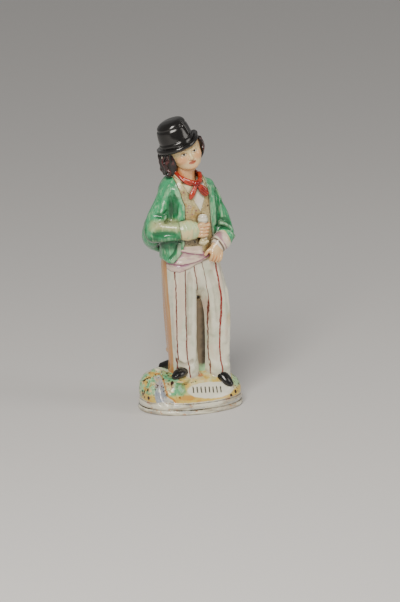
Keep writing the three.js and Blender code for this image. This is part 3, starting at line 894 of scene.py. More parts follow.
def blown_up(blocks, step):
    """One value per block, repeated for each of its lattice places."""
    for axis in range(3):
        blocks = np.repeat(blocks, step, axis)
    return np.pad(blocks, ((0, 1),) * 3, "edge")


def fill_lattice():
    """The distance on the lattice, measured in blocks that halve in size near the surface."""
    shape = (ACROSS, DEEP, len(LEVELS))
    field = np.full(shape, FAR, np.float32)
    known = np.zeros(shape, bool)
    wanted = np.zeros(shape, bool)
    wanted[::BLOCK, ::BLOCK, ::BLOCK] = True
    step = BLOCK
    while True:
        fresh = wanted & ~known
        field[fresh], _ = figure.measure(lattice_points(np.argwhere(fresh).astype(float)))
        known |= fresh
        if step == 1:
            return field
        corners = field[::step, ::step, ::step]
        size = [n - 1 for n in corners.shape]
        views = [corners[i : i + size[0], j : j + size[1], k : k + size[2]] for i, j, k in np.ndindex(2, 2, 2)]
        least, most = np.minimum.reduce(views), np.maximum.reduce(views)
        filling = blown_up(np.where(most < 0, -FAR, FAR), step)
        field[~known] = filling[~known]
        wanted = blown_up((least < NEAR * step) & (most > -NEAR * step), step)
        for axis in range(3):
            wanted |= np.roll(wanted, 1, axis)
        step //= 2
        grid = np.zeros(shape, bool)
        grid[::step, ::step, ::step] = True
        wanted &= grid


def surface_net(field):
    """Vertices at fractional lattice places and quads, one vertex in each cell that the surface crosses."""
    inside = field < 0
    corners = [(i, j, k) for i in (0, 1) for j in (0, 1) for k in (0, 1)]
    size = [n - 1 for n in field.shape]
    view = lambda array, c: array[c[0] : c[0] + size[0], c[1] : c[1] + size[1], c[2] : c[2] + size[2]]
    count = sum(view(inside, c).astype(np.int8) for c in corners)
    mixed = (count > 0) & (count < 8)
    number = np.full(mixed.shape, -1, np.int64)
    number[mixed] = np.arange(mixed.sum())
    values = np.stack([view(field, c)[mixed] for c in corners], 1)
    total = np.zeros((len(values), 3))
    crossings = np.zeros(len(values))
    offsets = np.array(corners, float)
    for a in range(8):
        for b in range(a + 1, 8):
            if np.abs(offsets[a] - offsets[b]).sum() != 1:
                continue
            crossed = (values[:, a] < 0) != (values[:, b] < 0)
            t = values[crossed, a] / (values[crossed, a] - values[crossed, b])
            total[crossed] += offsets[a] + t[:, None] * (offsets[b] - offsets[a])
            crossings[crossed] += 1
    vertices = np.argwhere(mixed) + total / crossings[:, None]
    quads = []
    for axis in range(3):
        u, v = (axis + 1) % 3, (axis + 2) % 3
        low = np.take(inside, range(field.shape[axis] - 1), axis)
        high = np.take(inside, range(1, field.shape[axis]), axis)
        edges = np.argwhere(low != high)
        edges = edges[(edges[:, u] > 0) & (edges[:, v] > 0) & (edges[:, u] < size[u]) & (edges[:, v] < size[v])]
        leaving = inside[tuple(edges.T)]
        around = []
        for du, dv in ((1, 1), (0, 1), (0, 0), (1, 0)):
            cell = edges.copy()
            cell[:, u] -= du
            cell[:, v] -= dv
            around.append(number[tuple(cell.T)])
        quad = np.stack(around, 1)
        quad[~leaving] = quad[~leaving][:, ::-1]
        quads.append(quad)
    return vertices, np.concatenate(quads)


def slope_at(points, step=0.1):
    """The gradient of the sculpture's distance, which points out of the surface."""
    slope = np.zeros((len(points), 3))
    for corner in ((1, 1, 1), (1, -1, -1), (-1, 1, -1), (-1, -1, 1)):
        corner = np.array(corner, float)
        field, _ = figure.measure(points + corner * step)
        slope += field[:, None] * corner
    return slope / (4 * step)


def settle(points, most=0.3):
    """Move points onto the surface along its gradient."""
    field, _ = figure.measure(points)
    slope = slope_at(points)
    steep = np.einsum("ij,ij->i", slope, slope) + 1e-3
    move = -(field / steep)[:, None] * slope
    length = np.linalg.norm(move, axis=1) + 1e-9
    return points + move * np.minimum(1, most / length)[:, None]


def new_mesh(name, points, faces):
    mesh = bpy.data.meshes.new(name)
    mesh.vertices.add(len(points))
    mesh.vertices.foreach_set("co", np.asarray(points, np.float32).ravel())
    sides = faces.shape[1]
    mesh.loops.add(faces.size)
    mesh.loops.foreach_set("vertex_index", faces.ravel().astype(np.int32))
    mesh.polygons.add(len(faces))
    mesh.polygons.foreach_set("loop_start", np.arange(0, faces.size, sides, dtype=np.int32))
    mesh.update(calc_edges=True)
    mesh.validate()
    return mesh


def mesh_arrays(mesh):
    points = np.empty(len(mesh.vertices) * 3)
    mesh.vertices.foreach_get("co", points)
    mesh.calc_loop_triangles()
    faces = np.empty(len(mesh.loop_triangles) * 3, np.int32)
    mesh.loop_triangles.foreach_get("vertices", faces)
    return points.reshape(-1, 3), faces.reshape(-1, 3)


def thinned(points, quads, triangles):
    """Fewer triangles where the surface is flat, made by Blender's collapse."""
    mesh = new_mesh("dense", points, quads)
    piece = bpy.data.objects.new("dense", mesh)
    bpy.context.scene.collection.objects.link(piece)
    fewer = piece.modifiers.new("fewer", "DECIMATE")
    fewer.ratio = min(1, triangles / (2 * len(quads)))
    graph = bpy.context.evaluated_depsgraph_get()
    result = piece.evaluated_get(graph).to_mesh()
    arrays = mesh_arrays(result)
    piece.evaluated_get(graph).to_mesh_clear()
    bpy.data.objects.remove(piece)
    bpy.data.meshes.remove(mesh)
    return arrays


def add_layer(mesh, name, values):
    """Keep a number, or three, for each vertex, for the material to read."""
    kind, key = ("FLOAT_VECTOR", "vector") if values.ndim == 2 else ("FLOAT", "value")
    layer = mesh.attributes.new(name, kind, "POINT")
    layer.data.foreach_set(key, values.astype(np.float32).ravel())


def build_figure():
    places, quads = surface_net(fill_lattice())
    points, faces = thinned(lattice_points(places), quads, TRIANGLES)
    low, high = (np.array(corner) / MM for corner in cad_box)
    points = np.clip(settle(points), low + 0.01, high - 0.01)
    mesh = new_mesh("staffordshire_figure", points * MM, faces)
    mesh.polygons.foreach_set("use_smooth", np.ones(len(faces), bool))
    normals = slope_at(points)
    normals /= np.linalg.norm(normals, axis=1)[:, None] + 1e-9
    _, own = figure.measure(points, REGIONS)
    order = np.sort(own, 1)
    for k, name in enumerate(REGIONS):
        others = np.where(own[:, k] == order[:, 0], order[:, 1], order[:, 0])
        add_layer(mesh, "in_" + name, np.clip(others - own[:, k], -4, 4))
    # How hollow and how ridged the surface is at each vertex; the paint uses these for painted shade in hollows and
    # painted highlight on ridges.
    outside, _ = figure.measure(points + normals * 1.6)
    inside, _ = figure.measure(points - normals * 2.4)
    add_layer(mesh, "hollow", np.clip(1 - outside / 1.6, 0, 1))
    add_layer(mesh, "ridge", np.clip(1 + inside / 2.4, 0, 1))
    add_layer(mesh, "stream", np.clip(-STREAM.distance(points), -4, 4))
    add_layer(mesh, "face", face_places(points))
    piece = bpy.data.objects.new("staffordshire_figure", mesh)
    bpy.context.scene.collection.objects.link(piece)
    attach(piece, "root")
    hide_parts("figure")
    return piece


def face_places(points):
    """Places in the frame of the nearer face, for painting the features."""
    flat = np.c_[points, np.ones(len(points))]
    front, back = (flat @ np.array(head_frame(turn).inverted()).T for turn in (HEAD_TURN, 180))
    return np.where(points[:, 1:2] < 0, front[:, :3], back[:, :3])


# Paint

ENAMEL = {
    "white": "#e6e3cd",
    "green white": "#cdd2b8",
    "pink white": "#dfccb6",
    "cream": "#e0d199",
    "peach": "#c98f52",
    "green": "#42a671",
    "pale green": "#a4d3a0",
    "deep green": "#15713f",
    "dark green": "#07331c",
    "skin": "#e6c795",
    "flush": "#d6793a",
    "lip": "#b04a2e",
    "brown": "#3a1c12",
    "ink": "#15110f",
    "red": "#880e08",
    "light red": "#b83c22",
    "dark red": "#3c0503",
    "buff": "#cdb37a",
    "ochre": "#d09f42",
    "yellow": "#d9b956",
    "orange": "#c06f26",
    "lilac": "#d4bdc0",
    "magenta": "#8f3f70",
    "stream": "#98a0aa",
    "stripe": "#6b1d17",
    "stone": "#86745a",
    "shade": "#362d1c",
    "hat": "#040404",
    "hair": "#1a0606",
    "hair light": "#5a2426",
}


def enamel(name):
    code = int(ENAMEL[name][1:], 16)
    parts = [(code >> shift & 255) / 255 for shift in (16, 8, 0)]
    return tuple(part / 12.92 if part <= 0.04045 else ((part + 0.055) / 1.055) ** 2.4 for part in parts) + (1.0,)


class Wire:
    """A number that the material works out at each point, written with ordinary arithmetic."""

    def __init__(self, socket):
        self.socket = socket

    def __add__(self, other):
        return maths("ADD", self, other)

    def __sub__(self, other):
        return maths("SUBTRACT", self, other)

    def __rsub__(self, other):
        return maths("SUBTRACT", other, self)

    def __mul__(self, other):
        return maths("MULTIPLY", self, other)

    def __truediv__(self, other):
        return maths("DIVIDE", self, other)

    def __neg__(self):
        return maths("MULTIPLY", self, -1)

    __radd__ = __add__
    __rmul__ = __mul__


# Cycles works through the nodes in the order they are made in and keeps a limited number of results. So whatever
# feeds a node is made before it.
material = bpy.data.materials.new("enamels under glaze")
material.use_nodes = True
nodes, links = material.node_tree.nodes, material.node_tree.links


def feed(socket, value):
    if isinstance(value, Wire):
        links.new(value.socket, socket)
    else:
        socket.default_value = value


def maths(operation, *values):
    node = nodes.new("ShaderNodeMath")
    node.operation = operation
    for socket, value in zip(node.inputs, values):
        feed(socket, value)
    return Wire(node.outputs[0])


def least(*values):
    result = values[0]
    for value in values[1:]:
        result = maths("MINIMUM", result, value)
    return result


def most(*values):
    result = values[0]
    for value in values[1:]:
        result = maths("MAXIMUM", result, value)
    return result


def size_of(value):
    return maths("ABSOLUTE", value)


def step(value, low, high):
    """0 up to low, 1 from high, smooth between."""
    node = nodes.new("ShaderNodeMapRange")
    node.interpolation_type = "SMOOTHSTEP"
    feed(node.inputs["Value"], value)
    turned = low > high
    node.inputs["From Min"].default_value = high if turned else low
    node.inputs["From Max"].default_value = low if turned else high
    node.inputs["To Min"].default_value = 1.0 if turned else 0.0
    node.inputs["To Max"].default_value = 0.0 if turned else 1.0
    return Wire(node.outputs["Result"])


def layer(name, output="Fac"):
    node = nodes.new("ShaderNodeAttribute")
    node.attribute_name = name
    return Wire(node.outputs[output])


def axes_of(vector):
    node = nodes.new("ShaderNodeSeparateXYZ")
    links.new(vector.socket, node.inputs[0])
    return [Wire(output) for output in node.outputs]


def stretched(vector, scale, shift=(0, 0, 0)):
    node = nodes.new("ShaderNodeMapping")
    links.new(vector.socket, node.inputs["Vector"])
    node.inputs["Scale"].default_value = scale
    node.inputs["Location"].default_value = shift
    return Wire(node.outputs[0])


def noise(size, detail=2.0, stretch=(1, 1, 1), shift=0.0):
    """Soft blotches of about the size given in millimetres, from 0 to 1 and mostly near a half."""
    place = stretched(PLACE, [1 / part for part in stretch], (shift, shift, shift))
    node = nodes.new("ShaderNodeTexNoise")
    node.inputs["Scale"].default_value = 1 / size
    node.inputs["Detail"].default_value = detail
    links.new(place.socket, node.inputs["Vector"])
    return Wire(node.outputs["Fac"])


def curve(value, pairs):
    """A smooth function of a number, through (value, result) pairs."""
    at, results = zip(*sorted(pairs))
    low, high = min(results), max(results)
    share = (value - at[0]) / (at[-1] - at[0])
    node = nodes.new("ShaderNodeFloatCurve")
    feed(node.inputs["Value"], share)
    points = node.mapping.curves[0].points
    while len(points) < len(at):
        points.new(0.5, 0.5)
    for point, a, result in zip(points, at, results):
        point.location = ((a - at[0]) / (at[-1] - at[0]), (result - low) / (high - low))
    node.mapping.update()
    return Wire(node.outputs[0]) * (high - low) + low


def mixed(first, second, amount):
    """From the first colour to the second. A colour is a name or the result of another mix."""
    node = nodes.new("ShaderNodeMix")
    node.data_type = "RGBA"
    feed(node.inputs["Factor"], amount)
    for key, colour in (("A", first), ("B", second)):
        socket = next(entry for entry in node.inputs if entry.name == key and entry.type == "RGBA")
        feed(socket, enamel(colour) if isinstance(colour, str) else colour)
    return Wire(next(output for output in node.outputs if output.type == "RGBA"))


def scaled_place():
    place = nodes.new("ShaderNodeTexCoord")
    node = nodes.new("ShaderNodeVectorMath")
    node.operation = "SCALE"
    links.new(place.outputs["Object"], node.inputs[0])
    node.inputs["Scale"].default_value = 1 / MM
    return Wire(node.outputs[0])


PLACE = scaled_place()
X, Y, Z = axes_of(PLACE)
# Hollows carry painted shade, ridges carry painted highlight.
HOLLOW = layer("hollow")
RIDGE = layer("ridge")
BLOTCH = noise(9, 3)
GRAIN = noise(1.6, 3)
WOBBLE = noise(4, 2, shift=31) - 0.5
FINE = noise(1.2, 2, shift=71) - 0.5
FRONT = step(Y, 0.6, -0.6)


def oval(u, v, centre, radii, soft=0.25):
    """1 within an oval on two axes."""
    across = (u - centre[0]) / radii[0]
    up = (v - centre[1]) / radii[1]
    return step(across * across + up * up, 1 + soft, 1 - soft)


def stroke(distance, width, soft=0.18):
    """1 along a brush line, from the distance to its middle."""
    return step(size_of(distance), width + soft, width - soft)


def dots(places, radius):
    """Small spots of paint on the front, at (x, z) or (x, y, z)."""
    total = None
    for x, *y, z in places:
        across, up = X - x + WOBBLE * 0.8, Z - z + FINE * 0.6
        deep = Y - y[0] + FINE * 0.8 if y else 0.0
        spot = step(across * across + up * up + deep * deep, radius**2 * 1.3, radius**2 * 0.6)
        total = spot if total is None else most(total, spot)
    return total * FRONT


def paint_trousers():
    colour = mixed("white", "green white", step(BLOTCH, 0.44, 0.64) * 0.8)
    colour = mixed(colour, "pink white", step(noise(12, 2, (0.5, 1, 3), 7), 0.5, 0.66) * 0.8)
    # Painted shade: stone colour in the hollows and creases of the trousers.
    colour = mixed(colour, "stone", step(HOLLOW, 0.12, 0.6) * 0.6)
    wobble = WOBBLE * 0.9
    thick = noise(14, 1, shift=3) - 0.5
    stripes = [
        ([(25, -13), (31.9, -13.4), (67.5, -14.9), (106.5, -16.4), (116, -16.8)], 0.34, "stripe"),
        ([(25, -5.2), (30.2, -5.7), (46.8, -7.5), (74, -8.7), (107.4, -9.3), (116, -9.4)], 0.48, "stripe"),
        ([(25, 2.6), (60, 3.2), (86, 2.5), (95, 0.8), (108.7, -1.9), (116, -3)], 0.4, "stripe"),
        ([(20, 12.9), (28, 12.6), (42, 11.9), (57, 11.7), (76.3, 10.9), (94.7, 8), (109.6, 4.5), (116, 3)], 0.22, "stripe"),
        ([(20, 21.4), (26.6, 20.7), (50.6, 18.6), (77.5, 19.6), (94.2, 17.6), (112, 14.5), (118, 13.8)], 0.6, "red"),
    ]
    front = step(Y - X * 0.24, -0.9, -1.5)
    gap = step(X, 0.6, 1.6) * step(X, 15, 14) * step(Z, 100, 96)
    behind = Y + 10 - step(Z, 88, 80) * step(X, 6, 8) * 5.8
    front = front * most(1 - gap, step(behind, 0.6, -0.6))
    for path, width, tint in stripes:
        line = X - curve(Z, path) + wobble
        mark = step(size_of(line) - thick * 0.5, width + 0.22, width - 0.12)
        colour = mixed(colour, tint, mark * front * (0.55 + GRAIN * 0.8))
    colour = mixed(colour, "ochre", oval(X, Z, (26, 66), (2.4, 5), 0.9) * front * 0.3)
    back = mixed("peach", "cream", step(noise(10, 3, (0.5, 0.5, 4)), 0.5, 0.72) * 0.6)
    back = mixed(back, "orange", step(noise(6, 3, (0.4, 0.4, 5), 5), 0.58, 0.75) * 0.5)
    # Painted shade: brown in the hollows of the back man's trousers.
    back = mixed(back, "brown", step(HOLLOW, 0.15, 0.7) * 0.5)
    return mixed(back, colour, step(Y - X * 0.24 - step(X, 16, 24) * 1.5 + WOBBLE, -0.5, -1.5))


def paint_web():
    # Painted shade on the right side of the web between the legs, and painted light in cream on its left side.
    colour = mixed("stone", "shade", step(X + WOBBLE * 3, 5, 10))
    colour = mixed(colour, "cream", step(X, 3.4, 1.6) * 0.4)
    return mixed(colour, "pale green", step(Z + WOBBLE * 4, 33, 28))


def paint_jacket():
    streak = noise(2.4, 3, (0.8, 0.8, 3), 11)
    fine = noise(1.1, 2, (0.8, 0.8, 3.4), 87)
    broad = noise(10, 2, (0.8, 0.8, 1.5), 83)
    # Deep green in broad blotches, and more of it in hollows as painted shade.
    colour = mixed("green", "deep green", step(broad + HOLLOW * 0.5, 0.46, 0.7) * 0.8)
    # Paler streaks in two sizes, more on ridges as painted highlight and held back in hollows as painted shade.
    colour = mixed(colour, "pale green", step(streak + RIDGE * 0.35 - HOLLOW * 1.5, 0.44, 0.72) * 0.55)
    colour = mixed(colour, "pale green", step(fine + RIDGE * 0.3 - HOLLOW, 0.58, 0.78) * 0.35)
    colour = mixed(colour, "deep green", step(fine, 0.42, 0.32) * 0.5)
    # Painted light: cream along the top of the right forearm.
    forearm = step(X, -12, -16) * step(Y, -6, -11) * step(Z, 148, 144)
    colour = mixed(colour, "cream", forearm * step(Z + WOBBLE * 4, 137, 141.4) * 0.55)
    # Painted shade: dark green under the right forearm.
    under = step(X, -10, -14) * step(Z + WOBBLE * 3, 136, 129.6) * step(Z, 122, 126)
    colour = mixed(colour, "dark green", under * FRONT * 0.75)
    # Painted shade: dark green in the jacket's hollows.
    colour = mixed(colour, "dark green", step(HOLLOW + FINE * 0.2, 0.14, 0.8) * 0.8)
    # Painted shade: dark green in the hollow by the right armpit.
    armpit = oval(X + FINE * 2, Z, (-18.1, 153), (1.6, 7), 0.7)
    colour = mixed(colour, "dark green", armpit * FRONT * 0.7)
    colour = mixed(colour, "dark green", step(noise(1.3, 1, shift=17), 0.7, 0.76) * 0.5)
    # Painted highlight: whitish on the ridges, broken up by streaks.
    return mixed(colour, "white", step(RIDGE + streak * 0.6, 0.62, 1.05) * 0.3)


def paint_waistcoat():
    # Cream in blotches, more on ridges as painted highlight.
    colour = mixed("buff", "cream", step(BLOTCH + RIDGE * 0.3, 0.38, 0.56))
    colour = mixed(colour, "ochre", step(noise(6, 2, shift=23), 0.52, 0.66) * 0.6)
    spotted = dots([(16.4, 163), (12.4, 160), (12.6, 168.6), (9.4, 154.6)], 0.8)
    colour = mixed(colour, "brown", spotted * 0.85)
    sprigs = dots([(-7.4, 151.4), (-3.6, 149.4), (-9.4, 166), (-0.6, 152), (-6, 143)], 0.6)
    colour = mixed(colour, "magenta", sprigs * 0.75)
    # Painted shade over the waistcoat's lower part above the sash, with dark specks in it.
    under = oval(X, Z, (-2, 129), (11, 3.8), 0.5) * FRONT
    colour = mixed(colour, "stone", under * 0.75)
    colour = mixed(colour, "ink", under * step(noise(1.5, 1, shift=41), 0.58, 0.64) * 0.8)
    edge = stroke(layer("in_shirt") + 0.25 + FINE * 0.3, 0.24)
    colour = mixed(colour, "ink", edge * FRONT * 0.7)
    border = stroke(layer("in_jacket") + 0.3 + FINE * 0.4, 0.3)
    colour = mixed(colour, "dark green", border * FRONT * 0.8)
    across, up = X + 5.6, Z - 155
    star = stroke(maths("SQRT", across * across + up * up) - 1.2 - FINE * 1.4, 0.2)
    colour = mixed(colour, "magenta", star * FRONT * 0.8)
    # Painted shade: brown in the waistcoat's hollows.
    return mixed(colour, "brown", step(HOLLOW, 0.3, 0.9) * 0.5)


def paint_shirt():
    colour = mixed("white", "lilac", step(BLOTCH, 0.42, 0.66) * 0.6)
    colour = mixed(colour, "cream", step(X + WOBBLE * 4, 1.5, -3) * 0.7)
    # Painted shade: stone colour in the shirt's hollows.
    return mixed(colour, "stone", step(HOLLOW, 0.15, 0.7) * 0.6)


def paint_sash():
    # Pale pink in blotches, more on ridges as painted highlight.
    colour = mixed("lilac", "pink white", step(BLOTCH + RIDGE, 0.4, 0.7))
    upper = Z - curve(X, [(-20, 122.8), (-11.7, 121.9), (-6, 120.4), (0, 119.2), (5, 118.3), (12, 116.6)])
    lower = Z - curve(X, [(-20, 112), (-16, 112.2), (-5.2, 112.8), (0, 114.1), (5, 116), (12, 118)])
    for line, width in ((upper, 0.45), (lower, 0.35)):
        colour = mixed(colour, "magenta", stroke(line + WOBBLE, width + 0.1, 0.5) * step(GRAIN, 0.2, 0.5) * 0.9)
    hem = step(layer("in_sash"), 1.1, 0.2) * step(Z, 117, 113)
    colour = mixed(colour, "magenta", hem * 0.6)
    wash = step(noise(5, 2, (2, 1, 0.7), 97), 0.54, 0.68)
    colour = mixed(colour, "magenta", wash * 0.3)
    # Painted shade: magenta in the sash's folds and hollows.
    return mixed(colour, "magenta", step(HOLLOW, 0.1, 0.5) * 0.65)


def paint_cuff():
    # Pale green in blotches on the right cuff, more in hollows as painted shade.
    right = mixed("cream", "pale green", step(BLOTCH + HOLLOW, 0.46, 0.7) * 0.6)
    right = mixed(right, "brown", step(layer("in_jacket") + WOBBLE * 0.3, -0.7, -0.2) * 0.7)
    left = mixed("white", "pink white", step(BLOTCH, 0.42, 0.6))
    band = layer("in_jacket") + WOBBLE * 0.3
    left = mixed(left, "magenta", stroke(band + 0.8, 0.28) * 0.7)
    left = mixed(left, "brown", stroke(band + 2.0, 0.3) * 0.85)
    left = mixed(left, "magenta", stroke(band + 3.1, 0.24) * 0.7)
    return mixed(right, left, step(X, 6, 9))


def paint_skin():
    colour = mixed("skin", "cream", step(BLOTCH, 0.42, 0.62) * 0.5)
    face = layer("face", "Vector")
    u, w, v = axes_of(face)
    across = size_of(u)
    near = step(w, -4, -6) * step(Z, 178, 181)
    # Painted shade: warm flush in the hollows, less on the face.
    colour = mixed(colour, "flush", step(HOLLOW, 0.08, 0.55) * (0.65 - near * 0.45))
    # Painted shade: flush under the chin.
    neck = step(v, -11, -14) * step(Z, 165, 168)
    colour = mixed(colour, "flush", neck * 0.4)
    # Flush in blotches on the hands, more in hollows as painted shade.
    hands = step(Z, 148, 146)
    colour = mixed(colour, "flush", hands * step(BLOTCH + HOLLOW, 0.36, 0.6) * 0.3)
    cheek = oval(across, v, (6.8, -4.4), (3.8, 3), 0.95)
    colour = mixed(colour, "flush", cheek * near * 0.5)
    colour = mixed(colour, "flush", oval(u, v, (0, -11.4), (3, 1.8), 0.9) * near * 0.25)
    eye = oval(across, v, (4.3, -0.35), (2.0, 0.95), 0.2)
    colour = mixed(colour, "white", eye * near * 0.8)
    colour = mixed(colour, "brown", oval(across, v, (4.2, -0.2), (0.85, 0.95), 0.2) * eye * near)
    colour = mixed(colour, "ink", oval(across, v, (4.2, -0.2), (0.45, 0.5), 0.2) * near)
    away = across - 4.3
    lid = v - 0.75 + away * away * 0.22
    colour = mixed(colour, "brown", stroke(lid, 0.17, 0.12) * step(size_of(away), 2.5, 2.1) * near)
    under = v + 1.35 - away * away * 0.18
    colour = mixed(colour, "brown", stroke(under, 0.06, 0.12) * step(size_of(away), 2.1, 1.5) * near * 0.5)
    brow = v - 3.1 + away * away * 0.13
    colour = mixed(colour, "brown", stroke(brow, 0.2, 0.25) * step(size_of(away), 3, 2) * near * 0.75)
    lips = oval(u, v, (0, -7.75), (2.9, 1.3), 0.3)
    colour = mixed(colour, "lip", lips * near * 0.9)
    mouth = v + 7.8
    colour = mixed(colour, "brown", stroke(mouth, 0.1, 0.12) * step(across, 2.6, 1.9) * near * 0.7)
    return mixed(colour, "brown", oval(across, v, (0.85, -5.35), (0.38, 0.25), 0.3) * near * 0.7)


def paint_scarf():
    # Light red in blotches, more on ridges as painted highlight.
    colour = mixed("red", "light red", step(RIDGE + BLOTCH * 0.6, 0.75, 1.15) * 0.8)
    # Painted shade: dark red in the folds and hollows.
    colour = mixed(colour, "dark red", step(HOLLOW + FINE * 0.3, 0.08, 0.5) * 0.9)
    stripes = maths("SINE", (X * 0.8 + Z) * 3.1 + WOBBLE * 4)
    tail = step(X, 2.5, 3.5) * step(Z, 171, 169)
    colour = mixed(colour, "dark red", step(stripes, 0.2, 0.7) * tail * FRONT * 0.8)
    return mixed(colour, "light red", step(noise(1.8, 1, shift=13), 0.6, 0.68) * 0.6)


def paint_hair():
    lines = noise(1.5, 2, (1, 1, 2), 19)
    # Lighter streaks, more on ridges as painted highlight.
    colour = mixed("hair", "hair light", step(RIDGE * 0.5 + lines, 0.78, 1.05) * 0.7)
    blush = oval(Z, Y, (189, -4), (4, 4), 0.8) * step(X, -10, -13)
    colour = mixed(colour, "hair light", blush * step(lines, 0.42, 0.6))
    # Painted highlight: a small white glint on the outermost lock at the left.
    hair_glint = oval(Z + FINE, Y, (190.4, -1), (0.9, 1.2), 0.3) * step(X, -18, -19)
    # Painted shade: near black in the hollows between locks.
    colour = mixed(colour, "ink", step(HOLLOW + lines * 0.3, 0.1, 0.45))
    return mixed(colour, "white", hair_glint)


def paint_hat():
    return mixed("hat", "ink", BLOTCH)


def paint_shoe():
    return mixed("hat", "ink", GRAIN)


def paint_goblet():
    # Grey in blotches, and in the hollows as painted shade.
    colour = mixed("white", "stone", step(BLOTCH + HOLLOW, 0.5, 0.8) * 0.6)
    # Painted shade: two grey rings round the bowl, in place of ribs.
    for height in (144.8, 147.9):
        colour = mixed(colour, "stone", stroke(Z - height + FINE * 1.2, 0.3, 0.4) * 0.55)
    lower = step(Z, 134, 131)
    colour = mixed(colour, "cream", lower * 0.7)
    colour = mixed(colour, "brown", lower * step(noise(1.4, 2, shift=29), 0.58, 0.66) * 0.6)
    # Painted shadow of the thumb: brown on the goblet below the bowl.
    return mixed(colour, "brown", step(Z, 144, 142.8) * step(Z, 136, 138) * 0.75)


def paint_base():
    left = step(X + WOBBLE * 4, -12, -17)
    moss = noise(4.4, 3, (1, 1, 0.8), 37)
    colour = mixed("cream", "yellow", step(BLOTCH + WOBBLE * 0.3, 0.4, 0.58))
    colour = mixed(colour, "ochre", step(noise(6, 3, shift=73), 0.5, 0.66) * 0.5)
    colour = mixed(colour, "stone", left * step(noise(3, 3, shift=91), 0.5, 0.62) * 0.55)
    colour = mixed(colour, "pale green", most(left, 0.35) * step(moss, 0.47, 0.53) * 0.9)
    colour = mixed(colour, "green", left * step(moss, 0.55, 0.62) * 0.75)
    low = Z + X * 0.02 + WOBBLE * 3
    colour = mixed(colour, "yellow", step(low, 15, 12.5) * FRONT * 0.9)
    streaks = noise(5, 3, (2.5, 1, 0.6), 89)
    colour = mixed(colour, "ochre", step(low, 15, 12) * step(streaks, 0.5, 0.62) * FRONT * 0.5)
    colour = mixed(colour, "orange", step(low, 13, 9.4) * step(noise(6, 3, shift=43), 0.52, 0.64) * 0.3)
    patches = [
        ((-15.5, 18.4), (4.6, 4.4), "green", 0.75),
        ((-21, 26), (4, 3), "green", 0.6),
        ((3.4, 29), (5, 2.4), "pale green", 0.85),
        ((35, 17.5), (7, 3.4), "pale green", 0.85),
        ((-12, 12.4), (7, 1.8), "orange", 0.5),
    ]
    for centre, radii, tint, strength in patches:
        patch = oval(X + WOBBLE * 5, Z + FINE * 2, centre, radii, 0.5)
        colour = mixed(colour, tint, patch * FRONT * strength)
    tilt = Z + (X - 8.5) * 0.04 + WOBBLE * 1.2
    reserve = oval(X, tilt, (8.8, 15.5), (19.2, 5.0), 0.1)
    colour = mixed(colour, "white", reserve * FRONT)
    colour = mixed(colour, "lip", oval(X, Z, (3.8, 25.2), (2.6, 1.2), 0.6) * FRONT * 0.7)
    stream = layer("stream") + WOBBLE * 1.6 + FINE * 0.8 - step(Z, 25, 28.6) * 4 + step(Z, 18, 9) * 1.2
    water = mixed("stream", "white", step(BLOTCH + WOBBLE, 0.46, 0.66) * 0.7)
    colour = mixed(colour, water, step(stream, -0.8, 0.2))
    colour = mixed(colour, "lilac", step(stream, -0.4, 0.6) * step(Z + WOBBLE * 4, 17, 22) * 0.8)
    ripples = step(noise(1.6, 2, (1.6, 1.6, 0.7), 79), 0.58, 0.66) * step(stream, -0.2, 0.4)
    colour = mixed(colour, "magenta", ripples * 0.25)
    colour = mixed(colour, "orange", stroke(stream + 1.2, 0.5, 0.5) * step(X, -29, -26) * 0.85)
    specks = step(noise(2.2, 2, shift=47), 0.59, 0.63)
    where = most(left * step(Z, 11, 14), step(X, 24, 29) * 0.9)
    colour = mixed(colour, "brown", specks * where * 0.95)
    large = [(-38.6, -2.4, 13), (-37.4, -10.3, 11.9), (-20.4, -15.1, 23), (28.8, -18.4, 11.6), (24, -22, 10)]
    small = [(-39, -1.4, 15.2), (-38.6, -5, 11.4), (36, -5.8, 16.8), (34.5, -10.5, 14.9)]
    dashes = [(-10.8, -15.6, 20.6), (-9.4, -15.6, 20.9), (-5.2, -15, 21.4), (-3.8, -15, 21.6), (-1.6, -15, 21.9)]
    colour = mixed(colour, "brown", dots(large, 1.4))
    colour = mixed(colour, "brown", dots(small, 0.9))
    colour = mixed(colour, "brown", dots(dashes, 0.6) * 0.8)
    colour = paint_strokes(colour)
    back = mixed("white", "pale green", step(moss, 0.5, 0.6) * 0.8)
    back = mixed(back, "ochre", step(Z + WOBBLE * 3, 15, 12) * 0.6)
    colour = mixed(back, colour, step(Y + WOBBLE * 4, 6, 2))
    plinth = step(Z + WOBBLE * 0.8, 9.6, 8.8)
    rim = mixed("white", "stream", step(noise(4, 3, (2, 2, 0.6), 53), 0.5, 0.66) * 0.6)
    rim = mixed(rim, "stone", step(noise(9, 4, (2, 2, 0.4), 93), 0.48, 0.62) * 0.6)
    rim = mixed(rim, "orange", step(noise(3, 3, shift=59), 0.6, 0.68) * 0.6)
    colour = mixed(colour, rim, plinth)
    # Painted shade along the plinth's two grooves, heavier in patches.
    groove_shade_patches = step(noise(9, 2, (2, 2, 1), 63), 0.4, 0.6)
    for height, width, strength in ((8.4, 0.28, 0.45), (3.8, 0.4, 0.75)):
        colour = mixed(colour, "shade", stroke(Z - height + FINE * 0.8, width, 0.3) * (0.45 + groove_shade_patches * strength))
    # Painted shade: dark in the base's hollows.
    return mixed(colour, "shade", step(HOLLOW, 0.3, 0.9) * 0.45)


def paint_strokes(colour):
    """Dark enamel in the grooves that stand for the inscription."""
    level = Z - stroke_level(X)
    place = (X - STROKE_START - 0.2 - level * STROKE_SLANT) / STROKE_PITCH
    spot = (place - maths("FLOOR", place) - 0.5) * STROKE_PITCH
    ends = step(place, 0.0, 0.02) * step(place, STROKES, STROKES - 0.02)
    mark = step(size_of(spot + FINE * 0.3), 0.62, 0.4) * step(size_of(level + WOBBLE), 2.0, 1.7) * ends
    return mixed(colour, "ink", mark * FRONT * 0.9)


